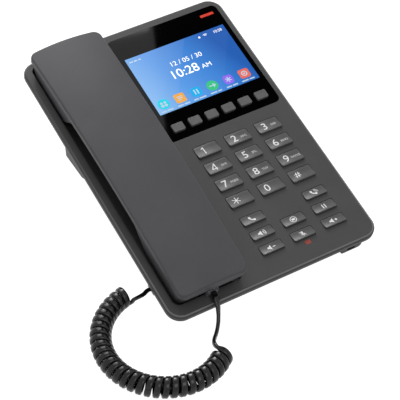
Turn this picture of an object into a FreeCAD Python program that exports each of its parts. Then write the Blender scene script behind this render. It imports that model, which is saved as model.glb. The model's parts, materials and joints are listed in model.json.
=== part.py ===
import FreeCAD, Part
import math
import os
import Sketcher
from FreeCAD import Placement, Rotation, Vector

# Desk IP phone: a thin sloping slab on a rear stand, a handset in a cradle channel on its left,
# a colour display with six soft keys, a dial pad, eight function keys and a curly handset cord.
#
# Millimetres, +Z up, X to the right, Y to the back. Base, keys and handset are drawn in the deck's
# own axes: u across, v up the slope from the front edge, w square to the deck, 0 on its surface.

doc = FreeCAD.newDocument("desk_ip_phone")
sheet = doc.addObject("Spreadsheet::Sheet", "dims")

driving_dimensions = {
    # slab and case
    "deckTilt": 11.6,
    "frontHeight": 12.2,
    "slabWidth": 145.0,
    "slabLength": 207.0,
    "slabCorner": 10.0,
    "slabEdge": 3.8,
    "coverWall": 2.4,
    "sideWall": 2.0,
    "edgeBevel": 1.5,
    "rimHeight": 1.4,
    "rimInset": 0.6,
    "tubWidth": 140.0,
    "tubFront": 4.2,
    "tubBack": 206.2,
    "tubShoulder": 9.6,
    "tubDepth": 22.0,
    "tubDraft": 7.5,
    "tubCorner": 8.0,
    "tubWall": 1.5,
    "footHeight": 1.6,
    "footDiameter": 12.0,
    # cradle channel under the handset
    "cradleCentre": -42.9,
    "cradleWidth": 47.6,
    "cradleFront": 8.6,
    "cradleBack": 203.0,
    "cradleDepth": 8.0,
    "cradleWall": 1.4,
    "cordGroove": 5.5,
    # handset
    "handsetFront": 5.4,
    "handsetBack": 203.9,
    "earWidth": 49.4,
    "mouthWidth": 46.4,
    "handsetCorner": 5.0,
    "bowHeight": 19.0,
    "bowRise": 5.0,
    "crown": 1.8,
    "rimDepth": 4.0,
    "gripDepth": 11.0,
    "gripFlat": 22.0,
    "cupDepth": 7.7,
    "cupDraft": 2.7,
    "mouthDraft": 6.0,
    "cupShoulder": 20.0,
    "shellWall": 1.8,
    # display
    "lensCentre": 27.4,
    "lensMiddle": 156.8,
    "lensWidth": 81.8,
    "lensLength": 88.5,
    "lensCorner": 4.0,
    "lensThickness": 1.4,
    "screenCentre": 28.2,
    "screenMiddle": 158.9,
    "screenWidth": 73.4,
    "screenLength": 49.0,
    "moduleThickness": 3.2,
    # keys
    "keyCentre": 27.6,
    "keyPitch": 22.2,
    "digitRow": 57.5,
    "digitPitch": 13.7,
    "digitWidth": 16.2,
    "digitLength": 9.2,
    "functionRow": 19.3,
    "functionPitch": 11.3,
    "functionWidth": 15.2,
    "functionLength": 6.8,
    "softRow": 121.4,
    "softPitch": 12.2,
    "softWidth": 8.2,
    "softLength": 6.2,
    "keyRise": 1.7,
    "softRise": 1.3,
    "keyGap": 0.3,
    "keyFlange": 0.9,
    "keyTravel": 1.0,
    # handset cord
    "cordDiameter": 3.4,
    "coilDiameter": 12.8,
    "coilTurns": 30,
    "coilBend": 38.8,
}
for row, (alias, value) in enumerate(driving_dimensions.items(), start=1):
    sheet.set("A{}".format(row), alias)
    sheet.set("B{}".format(row), str(value))
    sheet.setAlias("B{}".format(row), alias)
doc.recompute()


class Size:
    """A number together with the sheet expression that it comes from."""

    def __init__(self, value, text):
        self.value = value
        self.text = text

    def __add__(self, other):
        return joined(self, "+", other)

    def __radd__(self, other):
        return joined(other, "+", self)

    def __sub__(self, other):
        return joined(self, "-", other)

    def __rsub__(self, other):
        return joined(other, "-", self)

    def __mul__(self, other):
        return joined(self, "*", other)

    def __rmul__(self, other):
        return joined(other, "*", self)

    def __truediv__(self, other):
        return joined(self, "/", other)

    def __neg__(self):
        return joined(0, "-", self)


def as_size(number):
    if isinstance(number, Size):
        return number
    return Size(float(number), "({:.6f})".format(number))


def joined(left, sign, right):
    left = as_size(left)
    right = as_size(right)
    text = "({} {} {})".format(left.text, sign, right.text)
    if sign == "+":
        return Size(left.value + right.value, text)
    if sign == "-":
        return Size(left.value - right.value, text)
    if sign == "*":
        return Size(left.value * right.value, text)
    return Size(left.value / right.value, text)


def dim(alias):
    return Size(float(sheet.get(alias)), "dims." + alias)


def bind(thing, prop, size):
    size = as_size(size)
    setattr(thing, prop, size.value)
    thing.setExpression(prop, size.text)


tilt = math.radians(dim("deckTilt").value)
# the deck's front edge stands so far forward that the phone's footprint is centred on the origin
tub_heel = dim("tubBack") - dim("tubDraft") / 7
foremost = dim("edgeBevel").value * math.sin(tilt)
rearmost = tub_heel.value * math.cos(tilt) + dim("tubDepth").value * math.sin(tilt)
front_y = -(foremost + rearmost) / 2
deck = Placement(
    Vector(0, front_y, dim("frontHeight").value),
    Rotation(Vector(1, 0, 0), dim("deckTilt").value),
)
table_drop = (dim("frontHeight") - dim("footHeight")) / math.cos(tilt)
table_slope = math.tan(tilt)


def under_level(v):
    """Depth w of the level underside, one foot height above the table, at v."""
    return -(table_drop + v * table_slope)


def world(u, v, w):
    return deck.multVec(Vector(u, v, w))


# Sketch and feature helpers


def new_body(label):
    body = doc.addObject("PartDesign::Body", label)
    body.Label = label
    return body


def new_sketch(body, role, height=0):
    sketch = body.newObject("Sketcher::SketchObject", "Sketch")
    plane = next(item for item in body.Origin.OriginFeatures if item.Role == role)
    sketch.AttachmentSupport = [(plane, "")]
    sketch.MapMode = "FlatFace"
    height = as_size(height)
    sketch.AttachmentOffset = Placement(Vector(0, 0, height.value), Rotation())
    sketch.setExpression("AttachmentOffset.Base.z", height.text)
    return sketch


def pin(sketch, geometry, corner, x, y):
    """Hold one point of the sketch at x, y, measured from the sketch's origin."""
    for kind, axis, size in (("DistanceX", -2, as_size(x)), ("DistanceY", -1, as_size(y))):
        if abs(size.value) < 1e-9:
            sketch.addConstraint(Sketcher.Constraint("PointOnObject", geometry, corner, axis))
            continue
        index = sketch.addConstraint(Sketcher.Constraint(kind, -1, 1, geometry, corner, size.value))
        sketch.setExpression("Constraints[{}]".format(index), size.text)


def set_radius(sketch, geometry, radius):
    radius = as_size(radius)
    index = sketch.addConstraint(Sketcher.Constraint("Radius", geometry, radius.value))
    sketch.setExpression("Constraints[{}]".format(index), radius.text)


def draw_outline(sketch, points):
    """A closed outline of straight edges through (x, y) points."""
    values = [(as_size(x).value, as_size(y).value) for x, y in points]
    first = sketch.GeometryCount
    count = len(points)
    for i in range(count):
        start = Vector(*values[i], 0)
        finish = Vector(*values[(i + 1) % count], 0)
        sketch.addGeometry(Part.LineSegment(start, finish), False)
    for i in range(count):
        following = first + (i + 1) % count
        sketch.addConstraint(Sketcher.Constraint("Coincident", first + i, 2, following, 1))
    for i, (x, y) in enumerate(points):
        pin(sketch, first + i, 1, x, y)


def draw_rounded(sketch, centre, size, radius):
    """A rectangle with round corners: four pinned arcs and four tangent sides."""
    middle_x, middle_y = as_size(centre[0]), as_size(centre[1])
    half_x, half_y = as_size(size[0]) / 2, as_size(size[1]) / 2
    radius = as_size(radius)
    first = sketch.GeometryCount
    quarter = math.pi / 2
    arcs = []
    for i, (side, end) in enumerate(((1, 1), (-1, 1), (-1, -1), (1, -1))):
        x = middle_x + side * (half_x - radius)
        y = middle_y + end * (half_y - radius)
        circle = Part.Circle(Vector(x.value, y.value, 0), Vector(0, 0, 1), radius.value)
        sketch.addGeometry(Part.ArcOfCircle(circle, i * quarter, (i + 1) * quarter), False)
        arcs.append((x, y))
    for i in range(4):
        start = sketch.getPoint(first + i, 2)
        finish = sketch.getPoint(first + (i + 1) % 4, 1)
        sketch.addGeometry(Part.LineSegment(start, finish), False)
    for i in range(4):
        side = first + 4 + i
        sketch.addConstraint(Sketcher.Constraint("Tangent", first + i, 2, side, 1))
        sketch.addConstraint(Sketcher.Constraint("Tangent", side, 2, first + (i + 1) % 4, 1))
        pin(sketch, first + i, 3, *arcs[i])
    set_radius(sketch, first, radius)


def draw_circle(sketch, x, y, diameter):
    x, y, radius = as_size(x), as_size(y), as_size(diameter) / 2
    circle = Part.Circle(Vector(x.value, y.value, 0), Vector(0, 0, 1), radius.value)
    index = sketch.addGeometry(circle, False)
    pin(sketch, index, 3, x, y)
    set_radius(sketch, index, radius)


def pad(body, sketch, length, down=False, symmetric=False, taper=0):
    feature = body.newObject("PartDesign::Pad", "Pad")
    feature.Profile = sketch
    bind(feature, "Length", length)
    feature.Reversed = down
    if symmetric:
        feature.SideType = "Symmetric"
    feature.TaperAngle = taper
    doc.recompute()
    return feature


def pocket(body, sketch, length, up=False, symmetric=False):
    """Cut away from the sketch: downwards, or upwards, or both ways across the body."""
    before = body.Shape.Volume
    feature = body.newObject("PartDesign::Pocket", "Pocket")
    feature.Profile = sketch
    bind(feature, "Length", length)
    feature.Reversed = up
    if symmetric:
        feature.SideType = "Symmetric"
    doc.recompute()
    if body.Shape.Volume > before - 1e-3:
        raise RuntimeError("a pocket of {} cut nothing".format(body.Label))
    return feature


def revolve(body, sketch, axis):
    feature = body.newObject("PartDesign::Revolution", "Revolution")
    feature.Profile = sketch
    feature.ReferenceAxis = (sketch, [axis])
    feature.Angle = 360
    doc.recompute()
    return feature


def pattern(body, feature, spans):
    """Repeat a feature along the sketch's first and, if given, second axis."""
    repeat = body.newObject("PartDesign::LinearPattern", "LinearPattern")
    repeat.Originals = [feature]
    for suffix, axis, (pitch, count) in zip(("", "2"), ("H_Axis", "V_Axis"), spans):
        setattr(repeat, "Direction" + suffix, (feature.Profile[0], [axis]))
        setattr(repeat, "Occurrences" + suffix, count)
        if count > 1:
            bind(repeat, "Length" + suffix, as_size(pitch) * (count - 1))
    body.Tip = repeat
    doc.recompute()
    return repeat


def dress_edges(body, kind, prop, size, wanted):
    """Fillet or chamfer every edge of the body's tip for which wanted(edge) is true."""
    tip = body.Tip
    names = [
        "Edge{}".format(i + 1)
        for i, edge in enumerate(tip.Shape.Edges)
        if wanted(edge)
    ]
    feature = body.newObject("PartDesign::" + kind, kind)
    feature.Base = (tip, names)
    bind(feature, prop, size)
    doc.recompute()
    return feature


def round_edges(body, radius, wanted):
    return dress_edges(body, "Fillet", "Radius", radius, wanted)


def bevel_edges(body, size, wanted):
    return dress_edges(body, "Chamfer", "Size", size, wanted)


def lies_at_height(height, tolerance=1e-4):
    return lambda edge: all(abs(v.Z - height) < tolerance for v in edge.Vertexes)


def upright(edge):
    ends = edge.Vertexes
    if len(ends) != 2:
        return False
    across = math.hypot(ends[0].X - ends[1].X, ends[0].Y - ends[1].Y)
    return across < 1e-4


pieces = []


def keep(thing, label, placement=deck):
    thing.Label = label
    thing.Placement = placement
    pieces.append(thing)
    return thing


# Places shared by several pieces

cover_under = -dim("coverWall")
rim_top = -dim("slabEdge")
rim_under = rim_top - dim("rimHeight")
tub_floor = -dim("tubDepth")
case_wall = dim("sideWall")
floor_wall = 2.0
cradle_middle = (dim("cradleFront") + dim("cradleBack")) / 2
cradle_length = dim("cradleBack") - dim("cradleFront")
cradle_under = -(dim("cradleDepth") + dim("cradleWall"))
board_top = -6.5
board_under = -8.1
boss_foot = -11.0
boss_places = [(-14.4, 170.0), (58.0, 109.0), (-11.0, 49.0), (58.0, 49.0)]
plunger_place = (dim("cradleCentre"), 172.0)
plunger_hole = 7.6
mute_lamp_place = (dim("keyCentre"), 13.1)
mute_lamp_size = (4.2, 3.0)
message_lamp_place = (59.3, 195.0)
message_lamp_size = (10.0, 2.2)
lamp_foot = 2.0
soft_first = dim("keyCentre") - 2.5 * dim("softPitch")
key_left = dim("keyCentre") - dim("keyPitch")
key_hole_corner = 1.4
soft_hole_corner = 1.2
boss_diameter = 5.2
pilot_diameter = 2.6
pilot_depth = 7.0

# Top cover: the thin tray that is the deck, with its cradle tub, key holes and display recess


def make_top_cover():
    body = new_body("top_cover")
    slab = new_sketch(body, "XY_Plane")
    middle = dim("slabLength") / 2
    draw_rounded(slab, (0, middle), (dim("slabWidth"), dim("slabLength")), dim("slabCorner"))
    pad(body, slab, dim("slabEdge"), down=True)
    bevel_edges(body, dim("edgeBevel"), lies_at_height(0))
    hollow = new_sketch(body, "XY_Plane", -dim("slabEdge"))
    inner = (dim("slabWidth") - 2 * case_wall, dim("slabLength") - 2 * case_wall)
    draw_rounded(hollow, (0, middle), inner, dim("slabCorner") - case_wall)
    pocket(body, hollow, dim("slabEdge") - dim("coverWall"), up=True)

    tub = new_sketch(body, "XY_Plane", cover_under)
    place = (dim("cradleCentre"), cradle_middle)
    wall = dim("cradleWall")
    outside = (dim("cradleWidth") + 2 * wall, cradle_length + 2 * wall)
    draw_rounded(tub, place, outside, dim("handsetCorner") + wall)
    pad(body, tub, cover_under - cradle_under, down=True)
    channel = new_sketch(body, "XY_Plane")
    draw_rounded(channel, place, (dim("cradleWidth"), cradle_length), dim("handsetCorner"))
    pocket(body, channel, dim("cradleDepth"))
    hook = new_sketch(body, "XY_Plane")
    draw_circle(hook, *plunger_place, plunger_hole)
    pocket(body, hook, 1.5 * dim("cradleDepth"))
    groove = new_sketch(body, "XY_Plane")
    groove_end = dim("cradleFront") + 1
    groove_start = dim("edgeBevel") + 0.4
    groove_place = (dim("cradleCentre"), (groove_start + groove_end) / 2)
    draw_rounded(groove, groove_place, (dim("cordGroove"), groove_end - groove_start), 0.8)
    pocket(body, groove, 1.6)

    recess = new_sketch(body, "XY_Plane")
    lens_place = (dim("lensCentre"), dim("lensMiddle"))
    draw_rounded(recess, lens_place, (dim("lensWidth"), dim("lensLength")), dim("lensCorner"))
    pocket(body, recess, dim("lensThickness"))
    window = new_sketch(body, "XY_Plane")
    screen_place = (dim("screenCentre"), dim("screenMiddle"))
    draw_rounded(window, screen_place, (dim("screenWidth") + 1, dim("screenLength") + 1), 0.5)
    draw_rounded(window, message_lamp_place, message_lamp_size, 0.6)
    draw_rounded(window, mute_lamp_place, mute_lamp_size, 0.8)
    through = dim("coverWall") * 1.5
    pocket(body, window, through)

    gap = 2 * dim("keyGap")
    digit = new_sketch(body, "XY_Plane")
    digit_hole = (dim("digitWidth") + gap, dim("digitLength") + gap)
    draw_rounded(digit, (key_left, dim("digitRow")), digit_hole, key_hole_corner)
    hole = pocket(body, digit, through)
    pattern(body, hole, ((dim("keyPitch"), 3), (dim("digitPitch"), 4)))
    function_hole = (dim("functionWidth") + gap, dim("functionLength") + gap)
    outer = new_sketch(body, "XY_Plane")
    draw_rounded(outer, (key_left, dim("functionRow")), function_hole, key_hole_corner)
    hole = pocket(body, outer, through)
    pattern(body, hole, ((2 * dim("keyPitch"), 2), (dim("functionPitch"), 3)))
    centre = new_sketch(body, "XY_Plane")
    draw_rounded(centre, (dim("keyCentre"), dim("functionRow")), function_hole, key_hole_corner)
    hole = pocket(body, centre, through)
    pattern(body, hole, ((0, 1), (dim("functionPitch"), 2)))
    soft = new_sketch(body, "XY_Plane")
    soft_hole = (dim("softWidth") + gap, dim("softLength") + gap)
    draw_rounded(soft, (soft_first, dim("softRow")), soft_hole, soft_hole_corner)
    hole = pocket(body, soft, through)
    pattern(body, hole, ((dim("softPitch"), 6),))

    bosses = new_sketch(body, "XY_Plane", cover_under)
    for place in boss_places:
        draw_circle(bosses, *place, boss_diameter)
    pad(body, bosses, cover_under - boss_foot, down=True)
    pilots = new_sketch(body, "XY_Plane", boss_foot)
    for place in boss_places:
        draw_circle(pilots, *place, pilot_diameter)
    pocket(body, pilots, pilot_depth, up=True)
    keep(body, "top_cover")


# Bottom case: a rim under the cover and a drafted tub with a level front underside


def tub_body(label, inset):
    """The tub as a solid: straight walls, then drafted ones down to its floor."""
    body = new_body(label)
    width = dim("tubWidth") - 2 * inset
    front = dim("tubFront") + inset
    back = dim("tubBack") - inset
    corner = dim("tubCorner") - inset
    above = rim_top + inset
    walls = new_sketch(body, "XY_Plane", above)
    draw_rounded(walls, (0, (front + back) / 2), (width, back - front), corner)
    pad(body, walls, above + dim("tubShoulder"), down=True)
    shoulder = new_sketch(body, "XY_Plane", -dim("tubShoulder"))
    draw_rounded(shoulder, (0, (front + back) / 2), (width, back - front), corner)
    floor = new_sketch(body, "XY_Plane", tub_floor + floor_wall * (1 if inset else 0))
    front = front + dim("tubDraft") / 2
    back = tub_heel - inset
    draw_rounded(floor, (0, (front + back) / 2), (width - 2 * dim("tubDraft"), back - front), corner)
    loft = body.newObject("PartDesign::AdditiveLoft", "Loft")
    loft.Profile = shoulder
    loft.Sections = [floor]
    loft.Ruled = True
    doc.recompute()
    return body


def cut_level(body, raised):
    """Cut the underside level, as it stands above the table, from the front to the full depth."""
    start = as_size(-10.0)
    finish = as_size(80.0)
    deep = tub_floor - 10
    below = new_sketch(body, "YZ_Plane")
    draw_outline(below, [
        (start, under_level(start) + raised),
        (start, deep),
        (finish, deep),
        (finish, under_level(finish) + raised),
    ])
    pocket(body, below, dim("slabWidth") * 1.2, symmetric=True)


jack_floor = tub_floor + floor_wall
network_place = 45.0
pc_place = 25.0
power_place = 5.0
jack_width = 15.9
jack_height = board_under - jack_floor
power_width = 9.0
socket_place = 32.0
socket_face = -65.0
socket_width = 9.6
socket_top = -9.5
socket_height = 6.6
microphone_place = 52.5
microphone_level = rim_top - 3.2
speaker_place = (-42.9, 112.0)


def make_bottom_case():
    hollow = tub_body("case_hollow", dim("tubWall"))
    cut_level(hollow, floor_wall)
    body = tub_body("bottom_case", 0)
    rim = new_sketch(body, "XY_Plane", rim_top)
    inset = 2 * dim("rimInset")
    outline = (dim("slabWidth") - inset, dim("slabLength") - inset)
    draw_rounded(rim, (0, dim("slabLength") / 2), outline, dim("slabCorner") - dim("rimInset"))
    pad(body, rim, dim("rimHeight"), down=True)
    inside = body.newObject("PartDesign::Boolean", "Boolean")
    inside.setObjects([hollow])
    inside.Type = "Cut"
    doc.recompute()

    bosses = new_sketch(body, "XY_Plane", boss_foot)
    for place in boss_places:
        draw_circle(bosses, *place, 7.6)
    pad(body, bosses, boss_foot - tub_floor - 0.5, down=True)
    cut_level(body, 0)
    heads = new_sketch(body, "XY_Plane", tub_floor - 1)
    for place in boss_places:
        draw_circle(heads, *place, 5.6)
    pocket(body, heads, 9.0, up=True)
    shanks = new_sketch(body, "XY_Plane", tub_floor - 1)
    for place in boss_places:
        draw_circle(shanks, *place, 3.0)
    pocket(body, shanks, 14.0, up=True)

    ports = new_sketch(body, "XZ_Plane", -dim("tubBack") + 6)
    middle = jack_floor + jack_height / 2
    for place in (network_place, pc_place):
        draw_rounded(ports, (place, middle), (jack_width, jack_height), 0.4)
    draw_rounded(ports, (power_place, middle), (power_width, jack_height), 0.4)
    pocket(body, ports, 12.0)
    side = new_sketch(body, "YZ_Plane", -dim("tubWidth") / 2 - 1)
    socket_middle = socket_top - socket_height / 2
    draw_rounded(side, (socket_place, socket_middle), (socket_width, socket_height), 0.4)
    pocket(body, side, 19.0, up=True)

    slots = new_sketch(body, "XY_Plane", tub_floor - 1)
    draw_rounded(slots, (speaker_place[0], speaker_place[1] - 12), (24.0, 1.6), 0.75)
    slot = pocket(body, slots, 4.0, up=True)
    pattern(body, slot, ((0, 1), (4.0, 7)))

    chin = new_sketch(body, "XZ_Plane", -0.9)
    draw_rounded(chin, (microphone_place, rim_top - 2.8), (15.0, 5.6), 2.6)
    pad(body, chin, 4.6, down=True)
    port = new_sketch(body, "XZ_Plane", 1.0)
    draw_rounded(port, (microphone_place, microphone_level), (5.6, 2.4), 1.1)
    pocket(body, port, 8.0)
    keep(body, "bottom_case")


# Rear stand: a hollow foot, open to the back, that holds the slab at its slope


def stand_outline(wall):
    top_front, top_back = 126.0, 168.0
    foot_front, foot_back = as_size(132.5), as_size(162.0)
    if not wall:
        return [
            (top_front, tub_floor),
            (foot_front, under_level(foot_front)),
            (foot_back, under_level(foot_back)),
            (top_back, tub_floor),
        ]
    front = as_size(top_front + wall * 1.2)
    heel = foot_front + wall * 1.2
    beyond = as_size(top_back + 20)
    return [
        (front, tub_floor - wall),
        (heel, under_level(heel) + wall),
        (beyond, under_level(beyond) + wall),
        (beyond, tub_floor - wall),
    ]


stand_width = 123.0


def make_desk_stand():
    body = new_body("desk_stand")
    outside = new_sketch(body, "YZ_Plane")
    draw_outline(outside, stand_outline(0))
    pad(body, outside, stand_width, symmetric=True)

    def corner(edge):
        ends = edge.Vertexes
        outer = all(abs(abs(v.X) - stand_width / 2) < 1e-3 for v in ends)
        return outer and abs(ends[0].Z - ends[-1].Z) > abs(ends[0].Y - ends[-1].Y)

    round_edges(body, 4.0, corner)
    hollow = new_sketch(body, "YZ_Plane")
    draw_outline(hollow, stand_outline(2.5))
    pocket(body, hollow, stand_width - 8, symmetric=True)
    keep(body, "desk_stand")


def make_rubber_feet():
    feet = []
    height = dim("footHeight")
    for u, v in ((-50, 18), (50, 18), (-50, 147), (50, 147)):
        foot = doc.addObject("Part::Cylinder", "foot")
        bind(foot, "Radius", dim("footDiameter") / 2)
        bind(foot, "Height", height)
        under = world(u, v, under_level(as_size(v)).value)
        foot.Placement = Placement(Vector(under.x, under.y, 0), Rotation())
        feet.append(foot)
    group = doc.addObject("Part::Compound", "rubber_feet")
    group.Links = feet
    keep(group, "rubber_feet", Placement())


def make_case_screws():
    screws = []
    for u, v in boss_places:
        head = doc.addObject("Part::Cylinder", "head")
        head.Radius = 2.5
        head.Height = 2.0
        shank = doc.addObject("Part::Cylinder", "shank")
        shank.Radius = 1.25
        shank.Height = 10.5
        screw = doc.addObject("Part::Fuse", "screw")
        screw.Base = head
        screw.Tool = shank
        screw.Placement = Placement(Vector(u, v, tub_floor.value + 6.0), Rotation())
        screws.append(screw)
    group = doc.addObject("Part::Compound", "case_screws")
    group.Links = screws
    keep(group, "case_screws")


# Display: clear lens with soft-key holes, panel module and the two lamps


def make_display_lens():
    body = new_body("display_lens")
    outline = new_sketch(body, "XY_Plane")
    gap = 0.2
    size = (dim("lensWidth") - gap, dim("lensLength") - gap)
    draw_rounded(outline, (dim("lensCentre"), dim("lensMiddle")), size, dim("lensCorner") - gap / 2)
    pad(body, outline, dim("lensThickness"), down=True)
    soft = new_sketch(body, "XY_Plane")
    clear = 2 * dim("keyGap")
    hole_size = (dim("softWidth") + clear, dim("softLength") + clear)
    draw_rounded(soft, (soft_first, dim("softRow")), hole_size, soft_hole_corner)
    hole = pocket(body, soft, 2 * dim("lensThickness"))
    pattern(body, hole, ((dim("softPitch"), 6),))
    lamp = new_sketch(body, "XY_Plane")
    draw_rounded(lamp, message_lamp_place, message_lamp_size, 0.6)
    pocket(body, lamp, 2 * dim("lensThickness"))
    keep(body, "display_lens")


def make_lcd_module():
    body = new_body("lcd_module")
    frame = new_sketch(body, "XY_Plane", cover_under)
    draw_rounded(frame, (dim("screenCentre"), dim("screenMiddle")), (78.0, 59.0), 0.6)
    pad(body, frame, dim("moduleThickness"), down=True)
    glass = new_sketch(body, "XY_Plane", cover_under)
    place = (dim("screenCentre"), dim("screenMiddle"))
    draw_rounded(glass, place, (dim("screenWidth") + 0.6, dim("screenLength") + 0.6), 0.4)
    pad(body, glass, 0.8)
    keep(body, "lcd_module")


def make_lamp(label, place, size, top, foot):
    """A light pipe: a small window that fills its hole and a wider foot behind the wall."""
    body = new_body(label)
    window = new_sketch(body, "XY_Plane", cover_under)
    draw_rounded(window, place, (size[0] - 0.2, size[1] - 0.2), 0.5)
    pad(body, window, as_size(top) - cover_under)
    base = new_sketch(body, "XY_Plane", cover_under)
    draw_rounded(base, place, (size[0] + 1.6, size[1] + 0.5), 0.6)
    pad(body, base, foot, down=True)
    keep(body, label)


# Keypad: every key is a wedge, flush at its back and proud at its front, on a retaining flange

key_corner = 1.0
key_edge_round = 0.25
key_flush = 0.12
soft_lean = 0.15


def make_key(label, u, v, width, length, rise, flush):
    body = new_body(label)
    half = length / 2
    side = new_sketch(body, "YZ_Plane", u)
    profile = [
        (v - half, cover_under),
        (v + half, cover_under),
        (v + half, as_size(flush)),
        (v - half, as_size(rise)),
    ]
    draw_outline(side, profile)
    pad(body, side, width, symmetric=True)
    round_edges(body, key_corner, upright)
    top_rim = [edge for edge in body.Shape.Edges if min(p.Z for p in edge.Vertexes) > 0]
    seats = [edge.CenterOfMass for edge in top_rim]
    round_edges(body, key_edge_round, lambda edge: any((edge.CenterOfMass - s).Length < 1e-6 for s in seats))
    flange = new_sketch(body, "XY_Plane", cover_under)
    lip = 2 * dim("keyFlange")
    draw_rounded(flange, (u, v), (width + lip, length + lip), key_corner)
    pad(body, flange, dim("keyFlange"), down=True)
    keep(body, label)


digit_names = ["star", "0", "hash", "7", "8", "9", "4", "5", "6", "1", "2", "3"]
function_names = {
    (0, 0): "volume_down",
    (0, 1): "speaker",
    (0, 2): "line",
    (1, 0): "mute",
    (1, 1): "message",
    (2, 0): "volume_up",
    (2, 1): "hold",
    (2, 2): "redial",
}


def key_column(column):
    return key_left + column * dim("keyPitch")


def make_keys():
    for i, name in enumerate(digit_names):
        v = dim("digitRow") + (i // 3) * dim("digitPitch")
        size = (dim("digitWidth"), dim("digitLength"))
        make_key("key_" + name, key_column(i % 3), v, *size, dim("keyRise"), key_flush)
    for (column, row), name in function_names.items():
        v = dim("functionRow") + row * dim("functionPitch")
        size = (dim("functionWidth"), dim("functionLength"))
        make_key("key_" + name, key_column(column), v, *size, dim("keyRise"), key_flush)
    for i in range(6):
        u = soft_first + i * dim("softPitch")
        size = (dim("softWidth"), dim("softLength"))
        label = "soft_key_{}".format(i + 1)
        make_key(label, u, dim("softRow"), *size, dim("softRise"), dim("softRise") - soft_lean)


def make_keypad_mat():
    body = new_body("keypad_mat")
    sheet_top = board_top + 1.0
    dome_height = cover_under - dim("keyFlange") - dim("keyTravel") - 0.1 - sheet_top
    outline = new_sketch(body, "XY_Plane", board_top)
    draw_rounded(outline, (dim("keyCentre"), 68.0), (68.0, 116.0), 3.0)
    pad(body, outline, sheet_top - board_top)
    digit = new_sketch(body, "XY_Plane", sheet_top)
    draw_rounded(digit, (key_left, dim("digitRow")), (10.0, 6.0), 1.5)
    dome = pad(body, digit, dome_height)
    pattern(body, dome, ((dim("keyPitch"), 3), (dim("digitPitch"), 4)))
    outer = new_sketch(body, "XY_Plane", sheet_top)
    draw_rounded(outer, (key_left, dim("functionRow")), (9.0, 4.6), 1.5)
    dome = pad(body, outer, dome_height)
    pattern(body, dome, ((2 * dim("keyPitch"), 2), (dim("functionPitch"), 3)))
    centre = new_sketch(body, "XY_Plane", sheet_top)
    draw_rounded(centre, (dim("keyCentre"), dim("functionRow")), (9.0, 4.6), 1.5)
    dome = pad(body, centre, dome_height)
    pattern(body, dome, ((0, 1), (dim("functionPitch"), 2)))
    soft = new_sketch(body, "XY_Plane", sheet_top)
    draw_rounded(soft, (soft_first, dim("softRow")), (6.0, 3.6), 1.2)
    dome = pad(body, soft, dome_height)
    pattern(body, dome, ((dim("softPitch"), 6),))
    screws = new_sketch(body, "XY_Plane", board_top)
    for place in boss_places[1:2] + boss_places[3:]:
        draw_circle(screws, *place, 6.2)
    pocket(body, screws, 2.0, up=True)
    keep(body, "keypad_mat")


def make_main_board():
    body = new_body("main_board")
    outline = new_sketch(body, "XY_Plane", board_under)
    draw_rounded(outline, (dim("keyCentre"), 103.5), (69.0, 187.0), 1.5)
    pad(body, outline, board_top - board_under)
    holes = new_sketch(body, "XY_Plane", board_top)
    for place in boss_places[1:2] + boss_places[3:]:
        draw_circle(holes, *place, 6.2)
    pocket(body, holes, 3.0)
    keep(body, "main_board")


# Sockets in the case walls


def make_wall_jack(label, place, width, mouth, mouth_radius):
    """A box on the rear wall, open to the back."""
    body = new_body(label)
    depth = 15.0
    clear = 0.2
    block = new_sketch(body, "XZ_Plane", -dim("tubBack") + 1.0)
    middle = jack_floor + jack_height / 2
    draw_rounded(block, (place, middle), (width - clear, jack_height - clear), 0.3)
    pad(body, block, depth)
    opening = new_sketch(body, "XZ_Plane", -dim("tubBack") + 1.0)
    draw_rounded(opening, (place, middle), mouth, mouth_radius)
    pocket(body, opening, depth - 2.0, up=True)
    keep(body, label)


def make_handset_socket():
    body = new_body("handset_socket")
    middle = (socket_place, socket_top - socket_height / 2)
    block = new_sketch(body, "YZ_Plane", socket_face)
    draw_rounded(block, middle, (socket_width - 0.2, socket_height - 0.2), 0.3)
    pad(body, block, 13.0)
    opening = new_sketch(body, "YZ_Plane", socket_face)
    draw_rounded(opening, middle, (plug_width + 0.3, plug_height + 0.3), 0.3)
    pocket(body, opening, 10.0, up=True)
    keep(body, "handset_socket")


plug_width = 7.6
plug_height = 5.2
plug_length = 14.0


def make_base_plug():
    body = new_body("base_plug")
    middle = (socket_place, socket_top - socket_height / 2)
    face = new_sketch(body, "YZ_Plane", socket_face + 9.8)
    draw_rounded(face, middle, (plug_width, plug_height), 0.4)
    pad(body, face, plug_length, down=True)
    keep(body, "base_plug")


# Works inside the case


def make_loudspeaker():
    body = new_body("loudspeaker")
    profile = new_sketch(body, "XZ_Plane")
    floor = tub_floor + case_wall
    outline = [
        (0, floor),
        (17.5, floor),
        (17.5, floor + 1.6),
        (10, floor + 4.4),
        (10, floor + 8.0),
        (0, floor + 8.0),
    ]
    draw_outline(profile, outline)
    revolve(body, profile, "V_Axis")
    place = deck.multiply(Placement(Vector(*speaker_place, 0), Rotation()))
    keep(body, "loudspeaker", place)


def make_handsfree_microphone():
    body = new_body("handsfree_microphone")
    face = new_sketch(body, "XZ_Plane", -4.3)
    draw_rounded(face, (microphone_place, microphone_level), (5.4, 2.2), 1.0)
    pad(body, face, 1.6, down=True)
    keep(body, "handsfree_microphone")


def make_hook_switch():
    body = new_body("hook_switch")
    block = new_sketch(body, "XY_Plane", tub_floor + case_wall)
    draw_rounded(block, plunger_place, (14.0, 16.0), 0.8)
    pad(body, block, 5.0)
    well = new_sketch(body, "XY_Plane", tub_floor + case_wall + 5.0)
    draw_circle(well, *plunger_place, 5.0)
    pocket(body, well, 3.6)
    keep(body, "hook_switch")


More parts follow.
